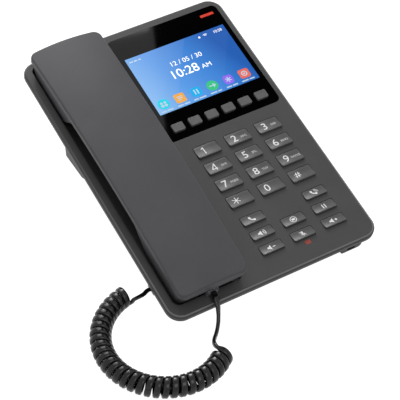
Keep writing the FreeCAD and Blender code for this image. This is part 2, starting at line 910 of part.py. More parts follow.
def make_hook_plunger():
    body = new_body("hook_plunger")
    top = -dim("cradleDepth") + 0.1
    pin_sketch = new_sketch(body, "XY_Plane", top)
    draw_circle(pin_sketch, *plunger_place, plunger_hole - 0.8)
    pad(body, pin_sketch, 4.6, down=True)
    stem = new_sketch(body, "XY_Plane", top - 4.6)
    draw_circle(stem, *plunger_place, 4.2)
    pad(body, stem, 5.6, down=True)
    keep(body, "hook_plunger")


# Handset: a crowned, bowed outer shell and an inner shell with two cups and a round-backed grip

bow_middle = (dim("handsetFront") + dim("handsetBack")) / 2
bow_half = (dim("handsetBack").value - dim("handsetFront").value) / 2
bow_radius = (bow_half ** 2 + dim("bowRise").value ** 2) / (2 * dim("bowRise").value)
bow_centre = Vector(0, bow_middle.value, dim("bowHeight").value - bow_radius)
split_height = dim("bowHeight") - dim("rimDepth")
whole_bow = 1.12 * bow_half
grip_bow = 0.8 * bow_half
handset_u = dim("cradleCentre").value
seam = 0.3


def bowed(wire, reach):
    """Sweep a cross section, drawn at the middle of the handset, so far along the bow both ways."""
    half_angle = math.degrees(math.asin(reach / bow_radius))
    start = Part.Face(wire)
    start.rotate(bow_centre, Vector(1, 0, 0), -half_angle)
    return start.revolve(bow_centre, Vector(1, 0, 0), 2 * half_angle)


def section_point(across, height):
    return Vector(handset_u + across, bow_middle.value, height)


def crowned_section(bottom, drop):
    """A flat-bottomed section whose top follows the handset's crown, lowered by drop."""
    reach = 30.0
    edge_half = (dim("earWidth").value + dim("mouthWidth").value) / 4
    crown = dim("crown").value
    crown_radius = (edge_half ** 2 + crown ** 2) / (2 * crown)
    top = dim("bowHeight").value + crown - drop
    side = top - (crown_radius - math.sqrt(crown_radius ** 2 - reach ** 2))
    arc = Part.Arc(section_point(reach, side), section_point(0, top), section_point(-reach, side))
    edges = [
        Part.LineSegment(section_point(-reach, bottom), section_point(reach, bottom)).toShape(),
        Part.LineSegment(section_point(reach, bottom), section_point(reach, side)).toShape(),
        arc.toShape(),
        Part.LineSegment(section_point(-reach, side), section_point(-reach, bottom)).toShape(),
    ]
    return Part.Wire(edges)


def handset_plan(inset, height, front_inset=None):
    """The handset's plan at a height: a long taper with a slightly curved back end."""
    front = dim("handsetFront").value + (inset if front_inset is None else front_inset)
    back = dim("handsetBack").value - inset
    mouth = dim("mouthWidth").value / 2 - inset
    ear = dim("earWidth").value / 2 - inset
    corners = [(-mouth, front), (mouth, front), (ear, back - 0.8), (-ear, back - 0.8)]
    points = [Vector(handset_u + across, v, height) for across, v in corners]
    crest = Vector(handset_u, back, height)
    return Part.Wire([
        Part.LineSegment(points[0], points[1]).toShape(),
        Part.LineSegment(points[1], points[2]).toShape(),
        Part.Arc(points[2], crest, points[3]).toShape(),
        Part.LineSegment(points[3], points[0]).toShape(),
    ])


def rounded_corners(block, radius):
    """Round the edges of a block that run from its foot to its top."""
    rising = [edge for edge in block.Edges if abs(edge.Vertexes[0].Z - edge.Vertexes[-1].Z) > 1]
    return block.makeFillet(radius, rising)


def handset_outline(inset, low, high):
    block = Part.Face(handset_plan(inset, low)).extrude(Vector(0, 0, high - low))
    return rounded_corners(block, dim("handsetCorner").value - inset / 2)


def handset_flare(low, high):
    """The handset's sides below the split: they spread from the cups up to the outer shell."""
    draft = dim("cupDraft").value
    foot = handset_plan(draft + seam, low, dim("mouthDraft").value + seam)
    rings = [foot, handset_plan(seam, high)]
    return rounded_corners(Part.makeLoft(rings, True, True), dim("handsetCorner").value)


def cup(end, start, way):
    """A cup in side view: flat face, round shoulder and a slope up to the grip, drawn across."""
    low = -dim("cupDepth").value
    high = 24.0
    radius = dim("cupShoulder").value
    slope = math.radians(50)
    width = dim("earWidth").value * 1.2
    left = handset_u - width / 2

    def at(v, height):
        return Vector(left, v, height)

    def on_shoulder(angle):
        return at(start + way * radius * math.sin(angle), low + radius * (1 - math.cos(angle)))

    foot = on_shoulder(slope)
    top = at(foot.y + way * (high - foot.z) / math.tan(slope), high)
    edges = [
        Part.LineSegment(at(end, low), at(start, low)).toShape(),
        Part.Arc(at(start, low), on_shoulder(slope / 2), foot).toShape(),
        Part.LineSegment(foot, top).toShape(),
        Part.LineSegment(top, at(end, high)).toShape(),
        Part.LineSegment(at(end, high), at(end, low)).toShape(),
    ]
    return Part.Face(Part.Wire(edges)).extrude(Vector(width, 0, 0))


def cylinder(v, low, high, diameter, across=0.0):
    foot = Vector(handset_u + across, v, low)
    return Part.makeCylinder(diameter / 2, high - low, foot)


receiver_place = 183.0
receiver_diameter = 34.0
transmitter_place = 30.0
transmitter_diameter = 9.7
handset_screw_places = [62.0, 148.0]
ear_wall = 2.2
mouth_wall = 2.0
seat_fit = 0.4
screw_head_seat = 9.0
weight_place = 45.0
weight_size = (24.0, 12.0, 7.0)
jack_size = (10.6, 12.0, 8.0)
jack_front = 10.6
jack_low = -0.4
jack_middle = jack_low + jack_size[2] / 2


def box(across, v, height, centre_v, low):
    return Part.makeBox(across, v, height, Vector(handset_u - across / 2, centre_v - v / 2, low))


def make_handset_back_shell():
    split = split_height.value
    wall = dim("shellWall").value
    outside = bowed(crowned_section(split, 0), whole_bow).common(handset_outline(0, -20, 60))
    top = dim("bowHeight").value - dim("bowRise").value - 1.5
    rim = [
        edge
        for edge in outside.Edges
        if min((p - bow_centre).Length for p in edge.discretize(3)) > bow_radius - 1.5
        and edge.CenterOfMass.z > top
    ]
    outside = outside.makeFillet(1.4, rim)
    hollow = bowed(crowned_section(split - 1, wall), whole_bow)
    inside = hollow.common(handset_outline(wall, -20, 60))
    shell = outside.cut(inside)
    for v in handset_screw_places:
        low = split - 6
        post = cylinder(v, low, 60, 6.0).common(bowed(crowned_section(low, wall / 2), whole_bow))
        shell = shell.fuse(post)
        shell = shell.cut(cylinder(v, low - 1, split + 2.6, 2.2))
    feature = doc.addObject("Part::Feature", "handset_back_shell")
    feature.Shape = shell.removeSplitter()
    keep(feature, "handset_back_shell")


def grip_section():
    top = split_height.value
    half = dim("mouthWidth").value / 2 - 0.6
    bottom = top - dim("gripDepth").value
    flat = dim("gripFlat").value / 2
    bulge = (half + flat) / 2 + 3.0
    haunch = bottom + dim("gripDepth").value * 0.32
    left = Part.Arc(section_point(-half, top), section_point(-bulge, haunch), section_point(-flat, bottom))
    right = Part.Arc(section_point(flat, bottom), section_point(bulge, haunch), section_point(half, top))
    edges = [
        left.toShape(),
        Part.LineSegment(section_point(-flat, bottom), section_point(flat, bottom)).toShape(),
        right.toShape(),
        Part.LineSegment(section_point(half, top), section_point(-half, top)).toShape(),
    ]
    return Part.Wire(edges)


def make_handset_front_shell():
    low = -dim("cupDepth").value
    ear = cup(dim("handsetBack").value + 5, 171.0, -1)
    mouth = cup(dim("handsetFront").value - 5, 37.0, 1)
    body = bowed(grip_section(), grip_bow).fuse([ear, mouth])
    lid = Part.makePolygon([
        section_point(-40, split_height.value),
        section_point(40, split_height.value),
        section_point(40, 45),
        section_point(-40, 45),
        section_point(-40, split_height.value),
    ])
    body = body.cut(bowed(Part.Wire(lid), whole_bow))
    body = body.common(handset_flare(low, split_height.value)).removeSplitter()

    split = split_height.value
    body = body.cut(cylinder(receiver_place, low + ear_wall, split + 2, receiver_diameter + seat_fit))
    body = body.cut(cylinder(transmitter_place, low + mouth_wall, split, transmitter_diameter + seat_fit))
    seat = (weight_size[0] + seat_fit, weight_size[1] + seat_fit, weight_size[2] + 5)
    body = body.cut(box(*seat, weight_place, split - screw_head_seat))
    for v in handset_screw_places:
        body = body.cut(cylinder(v, split - 7, 60, 6.4))
        body = body.cut(cylinder(v, -20, 60, 2.8))
        body = body.cut(cylinder(v, -20, split - screw_head_seat, 4.8))
    ring = receiver_diameter * 0.22
    for i in range(6):
        turn = math.radians(60 * i)
        place = receiver_place + ring * math.sin(turn)
        body = body.cut(cylinder(place, low - 1, low + 3, 2.0, ring * math.cos(turn)))
    body = body.cut(cylinder(receiver_place, low - 1, low + 3, 2.0))
    for across in (-2.6, 0, 2.6):
        body = body.cut(cylinder(transmitter_place, low - 1, low + 3, 1.4, across))
    across, along, height = jack_size
    nest = (across + seat_fit, along + seat_fit, height + seat_fit)
    body = body.cut(box(*nest, jack_front + along / 2, jack_low - seat_fit / 2))
    mouth_cut = box(plug_width + 1.4, 20.0, plug_height + 1.4, jack_front - 9, jack_middle - plug_height / 2 - 0.7)
    body = body.cut(mouth_cut)
    feature = doc.addObject("Part::Feature", "handset_front_shell")
    feature.Shape = body
    keep(feature, "handset_front_shell")


def solid_feature(label, shape, placement=deck):
    feature = doc.addObject("Part::Feature", label)
    feature.Shape = shape
    keep(feature, label, placement)


def make_handset_works():
    low = -dim("cupDepth").value
    receiver = cylinder(receiver_place, low + ear_wall, low + 8.2, receiver_diameter)
    receiver = receiver.fuse(cylinder(receiver_place, low + 8.2, low + 11.2, 18.0))
    solid_feature("receiver_capsule", receiver.removeSplitter())
    transmitter = cylinder(transmitter_place, low + mouth_wall, low + 7.0, transmitter_diameter)
    solid_feature("microphone_capsule", transmitter)
    solid_feature("handset_weight", box(*weight_size, weight_place, split_height.value - screw_head_seat))
    across, along, height = jack_size
    jack = box(across, along, height, jack_front + along / 2, jack_low)
    hole_along = 10.0
    hole = box(
        plug_width + 0.3,
        hole_along,
        plug_height + 0.3,
        jack_front + hole_along / 2 - 0.01,
        jack_middle - plug_height / 2 - 0.15,
    )
    solid_feature("handset_jack", jack.cut(hole))
    screws = []
    for v in handset_screw_places:
        split = split_height.value
        head = cylinder(v, split - 11.0, split - screw_head_seat, 4.4)
        shank = cylinder(v, split - screw_head_seat, split + 2.0, 2.1)
        screws.append(head.fuse(shank).removeSplitter())
    solid_feature("handset_screws", Part.makeCompound(screws))
    plug_start = jack_front + hole_along - 0.2 - plug_length
    plug = box(plug_width, plug_length, plug_height, plug_start + plug_length / 2, jack_middle - plug_height / 2)
    solid_feature("handset_plug", plug)
    return Vector(handset_u, plug_start, jack_middle)


# Handset cord: a short lead from the base plug, thirty left-handed curls lying in an arc on the
# table, and a lead that climbs to the plug in the handset

coil_centre = Vector(-78.0, front_y - 3.5, dim("coilDiameter").value / 2 + 0.05)
coil_first = math.radians(97.0)
coil_last = math.radians(307.0)
cord_radius = dim("cordDiameter").value / 2
curl_radius = dim("coilDiameter").value / 2 - cord_radius
curl_turns = dim("coilTurns").value
unwind = 0.5


def curl_point(share):
    """A point of the curly cord: share runs from 0 at the base lead to 1 at the handset lead."""
    heading = coil_first + (coil_last - coil_first) * share
    outward = Vector(math.cos(heading), math.sin(heading), 0)
    turned = curl_turns * share
    if turned < unwind:
        turned = turned * turned / (2 * unwind)
    else:
        turned = turned - unwind / 2
    finish = curl_turns - unwind / 2
    phase = 2 * math.pi * (turned - finish) + math.pi / 2
    bend = dim("coilBend").value + curl_radius * math.cos(phase)
    return coil_centre + outward * bend + Vector(0, 0, curl_radius * math.sin(phase))


def curl_heading(share):
    step = 1e-5
    return (curl_point(share + step) - curl_point(share - step)).normalize()


def biarc(start, start_heading, finish, finish_heading):
    """Two tangent arcs from one point and heading to another."""
    chord = finish - start
    both = start_heading + finish_heading
    slope = chord.dot(both)
    bend = 2 * (1 - start_heading.dot(finish_heading))
    reach = (-slope + math.sqrt(slope * slope + bend * chord.dot(chord))) / bend
    joint = (start + start_heading * reach + finish - finish_heading * reach) * 0.5
    return [arc_from(start, start_heading, joint), arc_from(finish, -finish_heading, joint)]


def arc_from(start, heading, finish):
    """The arc that leaves start along heading and ends at finish."""
    chord = finish - start
    side = chord - heading * chord.dot(heading)
    radius = chord.dot(chord) / (2 * side.Length)
    side.normalize()
    centre = start + side * radius
    middle = (start + finish) * 0.5 - centre
    if chord.dot(heading) < 0:
        middle = -middle
    return Part.Arc(start, centre + middle.normalize() * radius, finish).toShape()


def make_curly_cord():
    joints = int(curl_turns * 4)
    shares = [i / joints for i in range(joints + 1)]
    points = [curl_point(s) for s in shares]
    headings = [curl_heading(s) for s in shares]
    stub = dim("cordDiameter").value
    first = points[0] - headings[0] * stub
    last = points[-1] + headings[-1] * stub
    edges = [Part.LineSegment(first, points[0]).toShape()]
    for i in range(joints):
        arcs = biarc(points[i], headings[i], points[i + 1], headings[i + 1])
        edges.extend(arcs)
    edges.append(Part.LineSegment(points[-1], last).toShape())
    ordered = Part.Wire(Part.__sortEdges__(edges))
    ring = Part.Wire(Part.makeCircle(cord_radius, first, headings[0]))
    tube = ordered.makePipeShell([ring], True, False)
    report_tube("curly_cord", tube, ordered.Length)
    print("curly_cord least gap to itself {:.2f} mm".format(curl_gap()))
    solid_feature("curly_cord", tube, Placement())
    return (first, headings[0]), (last, headings[-1])


def curl_gap():
    """Least clear distance between curls, on points of the centre line that are far apart along it."""
    count = int(curl_turns * 40)
    line = [curl_point(i / count) for i in range(count + 1)]
    along = [0.0]
    for before, after in zip(line, line[1:]):
        along.append(along[-1] + before.distanceToPoint(after))
    apart = 4 * dim("cordDiameter").value
    two_curls = 4 * math.pi * curl_radius
    least = two_curls
    for i in range(0, count + 1, 3):
        for j in range(i, count + 1):
            if along[j] - along[i] > two_curls:
                break
            if along[j] - along[i] > apart:
                least = min(least, line[i].distanceToPoint(line[j]))
    return least - dim("cordDiameter").value


def report_tube(label, tube, length):
    expected = math.pi * cord_radius ** 2 * length
    print("{} volume {:.0f}, section times length {:.0f} mm3".format(label, tube.Volume, expected))


def make_lead(label, points):
    """A tube along straight runs joined by the largest tangent arcs that the runs allow."""
    edges = []
    radii = []
    at = points[0]
    for before, corner, after in zip(points, points[1:], points[2:]):
        coming = corner - before
        going = after - corner
        turn = coming.getAngle(going)
        radius = 0.45 * min(coming.Length, going.Length) / math.tan(turn / 2)
        radii.append(radius)
        trim = radius * math.tan(turn / 2)
        entry = corner - coming * (trim / coming.Length)
        leave = corner + going * (trim / going.Length)
        if (entry - at).Length > 1e-6:
            edges.append(Part.LineSegment(at, entry).toShape())
        edges.append(arc_from(entry, coming.normalize(), leave))
        at = leave
    edges.append(Part.LineSegment(at, points[-1]).toShape())
    path = Part.Wire(edges)
    ring = Part.Wire(Part.makeCircle(cord_radius, points[0], points[1] - points[0]))
    tube = path.makePipeShell([ring], True, False)
    report_tube(label, tube, path.Length)
    print(label, "radii", ", ".join("{:.1f}".format(r) for r in radii))
    solid_feature(label, tube, Placement())


def make_cord(handset_exit):
    base_end, handset_end = make_curly_cord()
    plug_face = socket_face + 9.8 - plug_length
    base_exit = world(plug_face, socket_place, (socket_top - socket_height / 2))
    start, heading = base_end
    step = 2.0
    make_lead("cord_base_lead", [
        base_exit,
        base_exit + Vector(-step, 0, 0),
        base_exit + Vector(-2 * step, -0.7, 0),
        base_exit + Vector(-3 * step, -1.9, 0),
        start - heading * step,
        start,
    ])
    finish, heading = handset_end
    exit_point = deck.multVec(handset_exit)
    forward = deck.Rotation.multVec(Vector(0, -1, 0))
    make_lead("cord_handset_lead", [
        finish,
        finish + heading * 2.6,
        Vector(-57.0, front_y - 25.4, 10.0),
        Vector(-55.2, front_y - 20.8, 8.0),
        Vector(-52.6, front_y - 16.0, 6.3),
        Vector(-49.2, front_y - 11.0, 6.5),
        Vector(-46.0, front_y - 6.4, 9.2),
        exit_point + forward * 5.0,
        exit_point,
    ])


make_top_cover()
make_bottom_case()
make_desk_stand()
make_rubber_feet()
make_case_screws()
make_display_lens()
make_lcd_module()
make_lamp("message_lamp", message_lamp_place, message_lamp_size, 0.0, lamp_foot)
make_lamp("mute_lamp", mute_lamp_place, mute_lamp_size, 0.0, lamp_foot)
make_keys()
make_keypad_mat()
make_main_board()
make_wall_jack("network_jack", network_place, jack_width, (11.8, 8.0), 0.4)
make_wall_jack("pc_jack", pc_place, jack_width, (11.8, 8.0), 0.4)
make_wall_jack("power_jack", power_place, power_width, (6.0, 6.0), 2.9)
make_handset_socket()
make_base_plug()
make_loudspeaker()
make_handsfree_microphone()
make_hook_switch()
make_hook_plunger()
make_handset_back_shell()
make_handset_front_shell()
make_cord(make_handset_works())
doc.recompute()

failed = [item.Label for item in doc.Objects if "Invalid" in item.State or "Error" in item.State]
failed += [item.Label for item in pieces if item.Shape.isNull() or not item.Shape.isValid()]
if failed:
    raise RuntimeError("these did not build: " + ", ".join(failed))
os.makedirs("parts", exist_ok=True)
for item in pieces:
    item.Shape.exportStep("parts/{}.step".format(item.Label))
    print("{} {:.0f} mm3".format(item.Label, item.Shape.Volume))
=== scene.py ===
import json
import math

import bmesh
import bpy
from mathutils import Matrix, Vector


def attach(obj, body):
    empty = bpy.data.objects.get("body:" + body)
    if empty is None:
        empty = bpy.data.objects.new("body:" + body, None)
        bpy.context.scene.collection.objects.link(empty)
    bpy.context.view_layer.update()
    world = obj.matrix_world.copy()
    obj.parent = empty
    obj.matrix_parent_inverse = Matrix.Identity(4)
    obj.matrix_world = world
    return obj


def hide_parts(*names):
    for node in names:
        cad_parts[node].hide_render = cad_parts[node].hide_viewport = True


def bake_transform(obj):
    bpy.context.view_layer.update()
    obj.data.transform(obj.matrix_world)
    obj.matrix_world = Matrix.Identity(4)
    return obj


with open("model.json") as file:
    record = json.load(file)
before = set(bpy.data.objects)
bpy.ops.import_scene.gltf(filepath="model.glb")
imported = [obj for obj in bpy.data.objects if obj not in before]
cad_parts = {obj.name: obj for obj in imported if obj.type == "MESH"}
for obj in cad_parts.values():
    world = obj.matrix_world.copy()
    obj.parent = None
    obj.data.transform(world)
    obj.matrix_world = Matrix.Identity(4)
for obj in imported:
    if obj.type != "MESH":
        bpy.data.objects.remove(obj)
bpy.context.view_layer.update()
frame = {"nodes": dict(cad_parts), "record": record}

scene = bpy.context.scene
scene.view_settings.view_transform = "Standard"
nodes = frame["nodes"]
mm = 0.001
upward = Vector((0, 0, 1))

# the deck leans back from its front edge; places on it are in mm: across, up the slope, out
deckTilt = math.radians(11.6)
deckFront = (0, -0.1028321, 0.0122)
deck = Matrix.Translation(deckFront) @ Matrix.Rotation(deckTilt, 4, "X") @ Matrix.Scale(mm, 4)
deckNormal = Vector((0, -math.sin(deckTilt), math.cos(deckTilt)))

# camera

view = {
    "place": (-0.32725, -0.57964, 0.68222),
    "aim": (0.34216, 0.59909, -0.72389),
    "lens": 133.69, "sensor": 36, "farClip": 20,
}
cameraData = bpy.data.cameras.new("photoCamera")
cameraData.lens = view["lens"]
cameraData.sensor_width = view["sensor"]
cameraData.clip_end = view["farClip"]
camera = bpy.data.objects.new("photoCamera", cameraData)
camera.location = view["place"]
camera.rotation_euler = Vector(view["aim"]).to_track_quat("-Z", "Y").to_euler()
scene.collection.objects.link(camera)
scene.camera = camera
print("camera set")

# materials


def linear(code):
    channels = [int(code[i:i + 2], 16) / 255 for i in (1, 3, 5)]
    return tuple(c / 12.92 if c <= 0.04045 else ((c + 0.055) / 1.055) ** 2.4 for c in channels) + (1,)


def addNode(tree, kind, values=None, links=None, **settings):
    node = tree.nodes.new("ShaderNode" + kind)
    for name, value in settings.items():
        setattr(node, name, value)
    for socket, value in (values or {}).items():
        node.inputs[socket].default_value = value
    for socket, source in (links or {}).items():
        tree.links.new(source, node.inputs[socket])
    return node


def newMaterial(name):
    mat = bpy.data.materials.new(name)
    mat.use_nodes = True
    return mat, mat.node_tree, mat.node_tree.nodes["Principled BSDF"]


# a new ramp has two stops, so the first two given are its ends
def setRamp(ramp, stops):
    elements = ramp.color_ramp.elements
    for element, (where, code) in zip(elements, stops):
        element.position = where
        element.color = linear(code)
    for where, code in stops[2:]:
        elements.new(where).color = linear(code)


mouldSkin = {
    "grainDetail": 3.0, "cloudDetail": 4.0, "grainShare": 0.35, "darkAt": 0.32, "lightAt": 0.68,
    "bumpDepth": 0.2 * mm, "ior": 1.53, "specular": 0.5,
}


# injection-moulded skin: fine grain in the bump, faint cloudiness in the colour and the gloss
def moulded(name, look):
    mat, tree, shader = newMaterial(name)
    place = {"Vector": addNode(tree, "TexCoord").outputs["Object"]}
    grain = addNode(
        tree, "TexNoise", {"Scale": 1 / (look["grainMm"] * mm), "Detail": mouldSkin["grainDetail"]}, place
    ).outputs["Fac"]
    cloud = addNode(
        tree, "TexNoise", {"Scale": 1 / (look["cloudMm"] * mm), "Detail": mouldSkin["cloudDetail"]}, place
    ).outputs["Fac"]
    mottle = addNode(
        tree, "Mix", {"Factor": mouldSkin["grainShare"]}, {"A": cloud, "B": grain}
    ).outputs["Result"]
    tone = addNode(tree, "ValToRGB", links={"Fac": mottle})
    setRamp(tone, [(mouldSkin["darkAt"], look["darker"]), (mouldSkin["lightAt"], look["lighter"])])
    low = look["roughness"] - look["glossSpread"]
    high = look["roughness"] + look["glossSpread"]
    gloss = addNode(tree, "MapRange", {"To Min": low, "To Max": high}, {"Value": mottle})
    depth = {"Strength": look["bump"], "Distance": mouldSkin["bumpDepth"]}
    bump = addNode(tree, "Bump", depth, {"Height": grain})
    tree.links.new(tone.outputs["Color"], shader.inputs["Base Color"])
    tree.links.new(gloss.outputs["Result"], shader.inputs["Roughness"])
    tree.links.new(bump.outputs["Normal"], shader.inputs["Normal"])
    shader.inputs["IOR"].default_value = look.get("ior", mouldSkin["ior"])
    shader.inputs["Specular IOR Level"].default_value = look.get("specular", mouldSkin["specular"])
    shader.inputs["Metallic"].default_value = look.get("metallic", 0)
    shader.inputs["Transmission Weight"].default_value = look.get("clear", 0)
    if "glow" in look:
        shader.inputs["Emission Color"].default_value = linear(look["glow"])
        shader.inputs["Emission Strength"].default_value = look["glowStrength"]
    return mat


# grain is drawn near 1 mm on the big mouldings, because the real 0.2 mm spark texture is under a pixel
caseSkin = {
    "darker": "#474748", "lighter": "#4e4e4f", "roughness": 0.46, "glossSpread": 0.05,
    "grainMm": 0.9, "cloudMm": 22, "bump": 0.12, "specular": 0.3,
}
finishes = {
    # ABS, spark-textured mould: an even soft grey with a broad dull highlight
    "case_plastic": moulded("texturedAbs", caseSkin),
    # ABS, finer mould skin where a hand holds it: smoother, and painted a little lighter than the case, a painted
    # highlight for the light it catches
    "handset_plastic": moulded("satinAbs", {
        "darker": "#525255", "lighter": "#5a5a5d", "roughness": 0.46, "glossSpread": 0.05,
        "grainMm": 0.8, "cloudMm": 30, "bump": 0.08, "specular": 0.2,
    }),
    # ABS key caps, satin, slightly polished on top by fingers, and painted a little lighter than the case, a
    # painted highlight for the light their tops catch
    "key_plastic": moulded("satinKeyAbs", {
        "darker": "#555556", "lighter": "#5e5e5f", "roughness": 0.36, "glossSpread": 0.06,
        "grainMm": 0.8, "cloudMm": 7, "bump": 0.06, "specular": 0.3,
    }),
    # ABS soft keys in a paler grey
    "soft_key_plastic": moulded("paleKeyAbs", {
        "darker": "#626263", "lighter": "#6c6c6d", "roughness": 0.38, "glossSpread": 0.06,
        "grainMm": 0.8, "cloudMm": 6, "bump": 0.06, "specular": 0.3,
    }),
    # PMMA, back-printed black and hard coated: a deep black with a clean reflection
    "lens_plastic": moulded("blackAcrylic", {
        "darker": "#040405", "lighter": "#060607", "roughness": 0.04, "glossSpread": 0.01,
        "grainMm": 3.0, "cloudMm": 40, "bump": 0.004, "ior": 1.49, "specular": 0.3,
    }),
    # panel glass over its polariser: near black, clear gloss
    "display_glass": moulded("panelGlass", {
        "darker": "#0b0d12", "lighter": "#11141b", "roughness": 0.08, "glossSpread": 0.02,
        "grainMm": 1.0, "cloudMm": 20, "bump": 0.005,
    }),
    # polycarbonate light pipe, tinted red: dull while its lamp is off
    "lamp_plastic": moulded("redPolycarbonate", {
        "darker": "#8f3022", "lighter": "#a84232", "roughness": 0.3, "glossSpread": 0.05,
        "grainMm": 0.7, "cloudMm": 3, "bump": 0.03, "ior": 1.58,
    }),
    # silicone, moulded matt
    "mat_rubber": moulded("greySilicone", {
        "darker": "#2c2c2d", "lighter": "#353536", "roughness": 0.72, "glossSpread": 0.06,
        "grainMm": 0.8, "cloudMm": 9, "bump": 0.1, "ior": 1.43,
    }),
    # glass-epoxy laminate under green solder mask
    "board_laminate": moulded("maskedLaminate", {
        "darker": "#12381f", "lighter": "#1c5230", "roughness": 0.35, "glossSpread": 0.08,
        "grainMm": 0.6, "cloudMm": 4, "bump": 0.08,
    }),
    # zinc-plated steel, tumbled
    "screw_steel": moulded("zincPlatedSteel", {
        "darker": "#8b8f94", "lighter": "#a9adb1", "roughness": 0.34, "glossSpread": 0.08,
        "grainMm": 0.5, "cloudMm": 2, "bump": 0.05, "metallic": 1, "ior": 1.5,
    }),
    # pressed aluminium cans with a dull drawn surface
    "capsule_metal": moulded("pressedAluminium", {
        "darker": "#7d8084", "lighter": "#94979b", "roughness": 0.42, "glossSpread": 0.08,
        "grainMm": 0.5, "cloudMm": 4, "bump": 0.05, "metallic": 1, "ior": 1.5,
    }),
    # nylon jack housings, matt black
    "jack_plastic": moulded("blackNylon", {
        "darker": "#141415", "lighter": "#1c1c1d", "roughness": 0.55, "glossSpread": 0.06,
        "grainMm": 0.6, "cloudMm": 5, "bump": 0.08,
    }),
    # clear polycarbonate plug body, polished mould
    "plug_plastic": moulded("clearPolycarbonate", {
        "darker": "#c9ccd0", "lighter": "#dfe2e5", "roughness": 0.12, "glossSpread": 0.04,
        "grainMm": 0.8, "cloudMm": 4, "bump": 0.02, "ior": 1.58, "clear": 0.75,
    }),
    # PVC cord jacket, extruded: near black with a bright narrow gloss
    "cord_jacket": moulded("extrudedPvc", {
        "darker": "#0c0c0d", "lighter": "#151516", "roughness": 0.16, "glossSpread": 0.04,
        "grainMm": 0.9, "cloudMm": 6, "bump": 0.02, "specular": 0.3,
    }),
    # synthetic rubber feet, dull black
    "foot_rubber": moulded("blackRubber", {
        "darker": "#151515", "lighter": "#1e1e1e", "roughness": 0.8, "glossSpread": 0.06,
        "grainMm": 0.6, "cloudMm": 4, "bump": 0.15,
    }),
}
# the lit message lamp glows through its red pipe
litLamp = moulded("litRedPolycarbonate", {
    "darker": "#541a10", "lighter": "#62200f", "roughness": 0.25, "glossSpread": 0.05,
    "grainMm": 0.7, "cloudMm": 3, "bump": 0.03, "ior": 1.58, "glow": "#f5330f", "glowStrength": 0.62,
})
# the tub under the slab: the same ABS, duller, and painted darker as painted shade under the slab
shadedUnderAbs = moulded("shadedDullAbs", {
    **caseSkin, "darker": "#313132", "lighter": "#373738", "roughness": 0.55, "specular": 0.25,
})
# the slab's cover: a painted highlight along the top line of its chamfer and painted shade on the wall below it,
# most of all at the front
coverAbs = moulded("edgeLitAbs", caseSkin)
coverEdgeLight = {
    "middle": (0, 103.5, 0), "core": (62.5, 93.5, 0), "corner": 10.0, "bevel": 1.5,
    "tones": [(0.0, "#8a8a8b"), (1.0, "#262627"), (0.4, "#808081"), (0.5, "#48484a"), (0.95, "#424243")],
    "paintFrom": -0.1, "paintTo": 0.05, "fadeTo": 130.0, "frontShare": 1.0, "backShare": 0.15,
}


# how far a point lies out from the deck's rounded rectangle picks its painted light: a highlight on the chamfer,
# shade on the wall below
def paintEdgeLight(mat):
    tree = mat.node_tree
    base = tree.nodes["Principled BSDF"].inputs["Base Color"]
    tone = base.links[0].from_socket
    onDeck = addNode(
        tree, "Mapping", {"Location": deckFront, "Rotation": (deckTilt, 0, 0), "Scale": (mm, mm, mm)},
        {"Vector": addNode(tree, "TexCoord").outputs["Object"]}, vector_type="TEXTURE",
    ).outputs["Vector"]
    steps = (
        ("MULTIPLY", {1: (1, 1, 0)}),
        ("SUBTRACT", {1: coverEdgeLight["middle"]}),
        ("ABSOLUTE", {}),
        ("SUBTRACT", {1: coverEdgeLight["core"]}),
        ("MAXIMUM", {1: (0, 0, 0)}),
    )
    out = onDeck
    for operation, other in steps:
        out = addNode(tree, "VectorMath", other, {0: out}, operation=operation).outputs["Vector"]
    reach = {"Value": addNode(tree, "VectorMath", {}, {0: out}, operation="LENGTH").outputs["Value"]}
    start = coverEdgeLight["corner"] - coverEdgeLight["bevel"]
    share = addNode(tree, "MapRange", {"From Min": start, "From Max": coverEdgeLight["corner"]}, reach)
    edge = addNode(tree, "ValToRGB", links={"Fac": share.outputs["Result"]})
    setRamp(edge, coverEdgeLight["tones"])
    # the painted highlight and shade cover the chamfer and the wall below it, strongest at the front
    band = {"From Min": start + coverEdgeLight["paintFrom"], "From Max": start + coverEdgeLight["paintTo"]}
    painted = addNode(tree, "MapRange", band, reach).outputs["Result"]
    slope = addNode(tree, "SeparateXYZ", links={"Vector": onDeck}).outputs["Y"]
    shares = {
        "From Max": coverEdgeLight["fadeTo"], "To Min": coverEdgeLight["frontShare"], "To Max": coverEdgeLight["backShare"],
    }
    fade = addNode(tree, "MapRange", shares, {"Value": slope}).outputs["Result"]
    much = addNode(tree, "Math", {}, {0: painted, 1: fade}, operation="MULTIPLY").outputs[0]
    mixed = addNode(tree, "Mix", {}, {0: much, 6: tone, 7: edge.outputs["Color"]}, data_type="RGBA")
    tree.links.new(mixed.outputs[2], base)


paintEdgeLight(coverAbs)
ownFinish = {"message_lamp": litLamp, "bottom_case": shadedUnderAbs, "top_cover": coverAbs}
slotOf = {s["node"]: s["material_slot"] for s in frame["record"]["subparts"]}
for name, node in nodes.items():
    for holder in node.material_slots:
        holder.material = ownFinish.get(name, finishes[slotOf[name]])
print("CAD nodes finished:", len(nodes))


def meshPiece(bm, name, material):
    mesh = bpy.data.meshes.new(name)
    bm.to_mesh(mesh)
    bm.free()
    piece = bpy.data.objects.new(name, mesh)
    piece.data.materials.append(material)
    scene.collection.objects.link(piece)
    return piece


# curly cord: a flat two-core ribbon from the base plug, round the coil and up to the handset plug

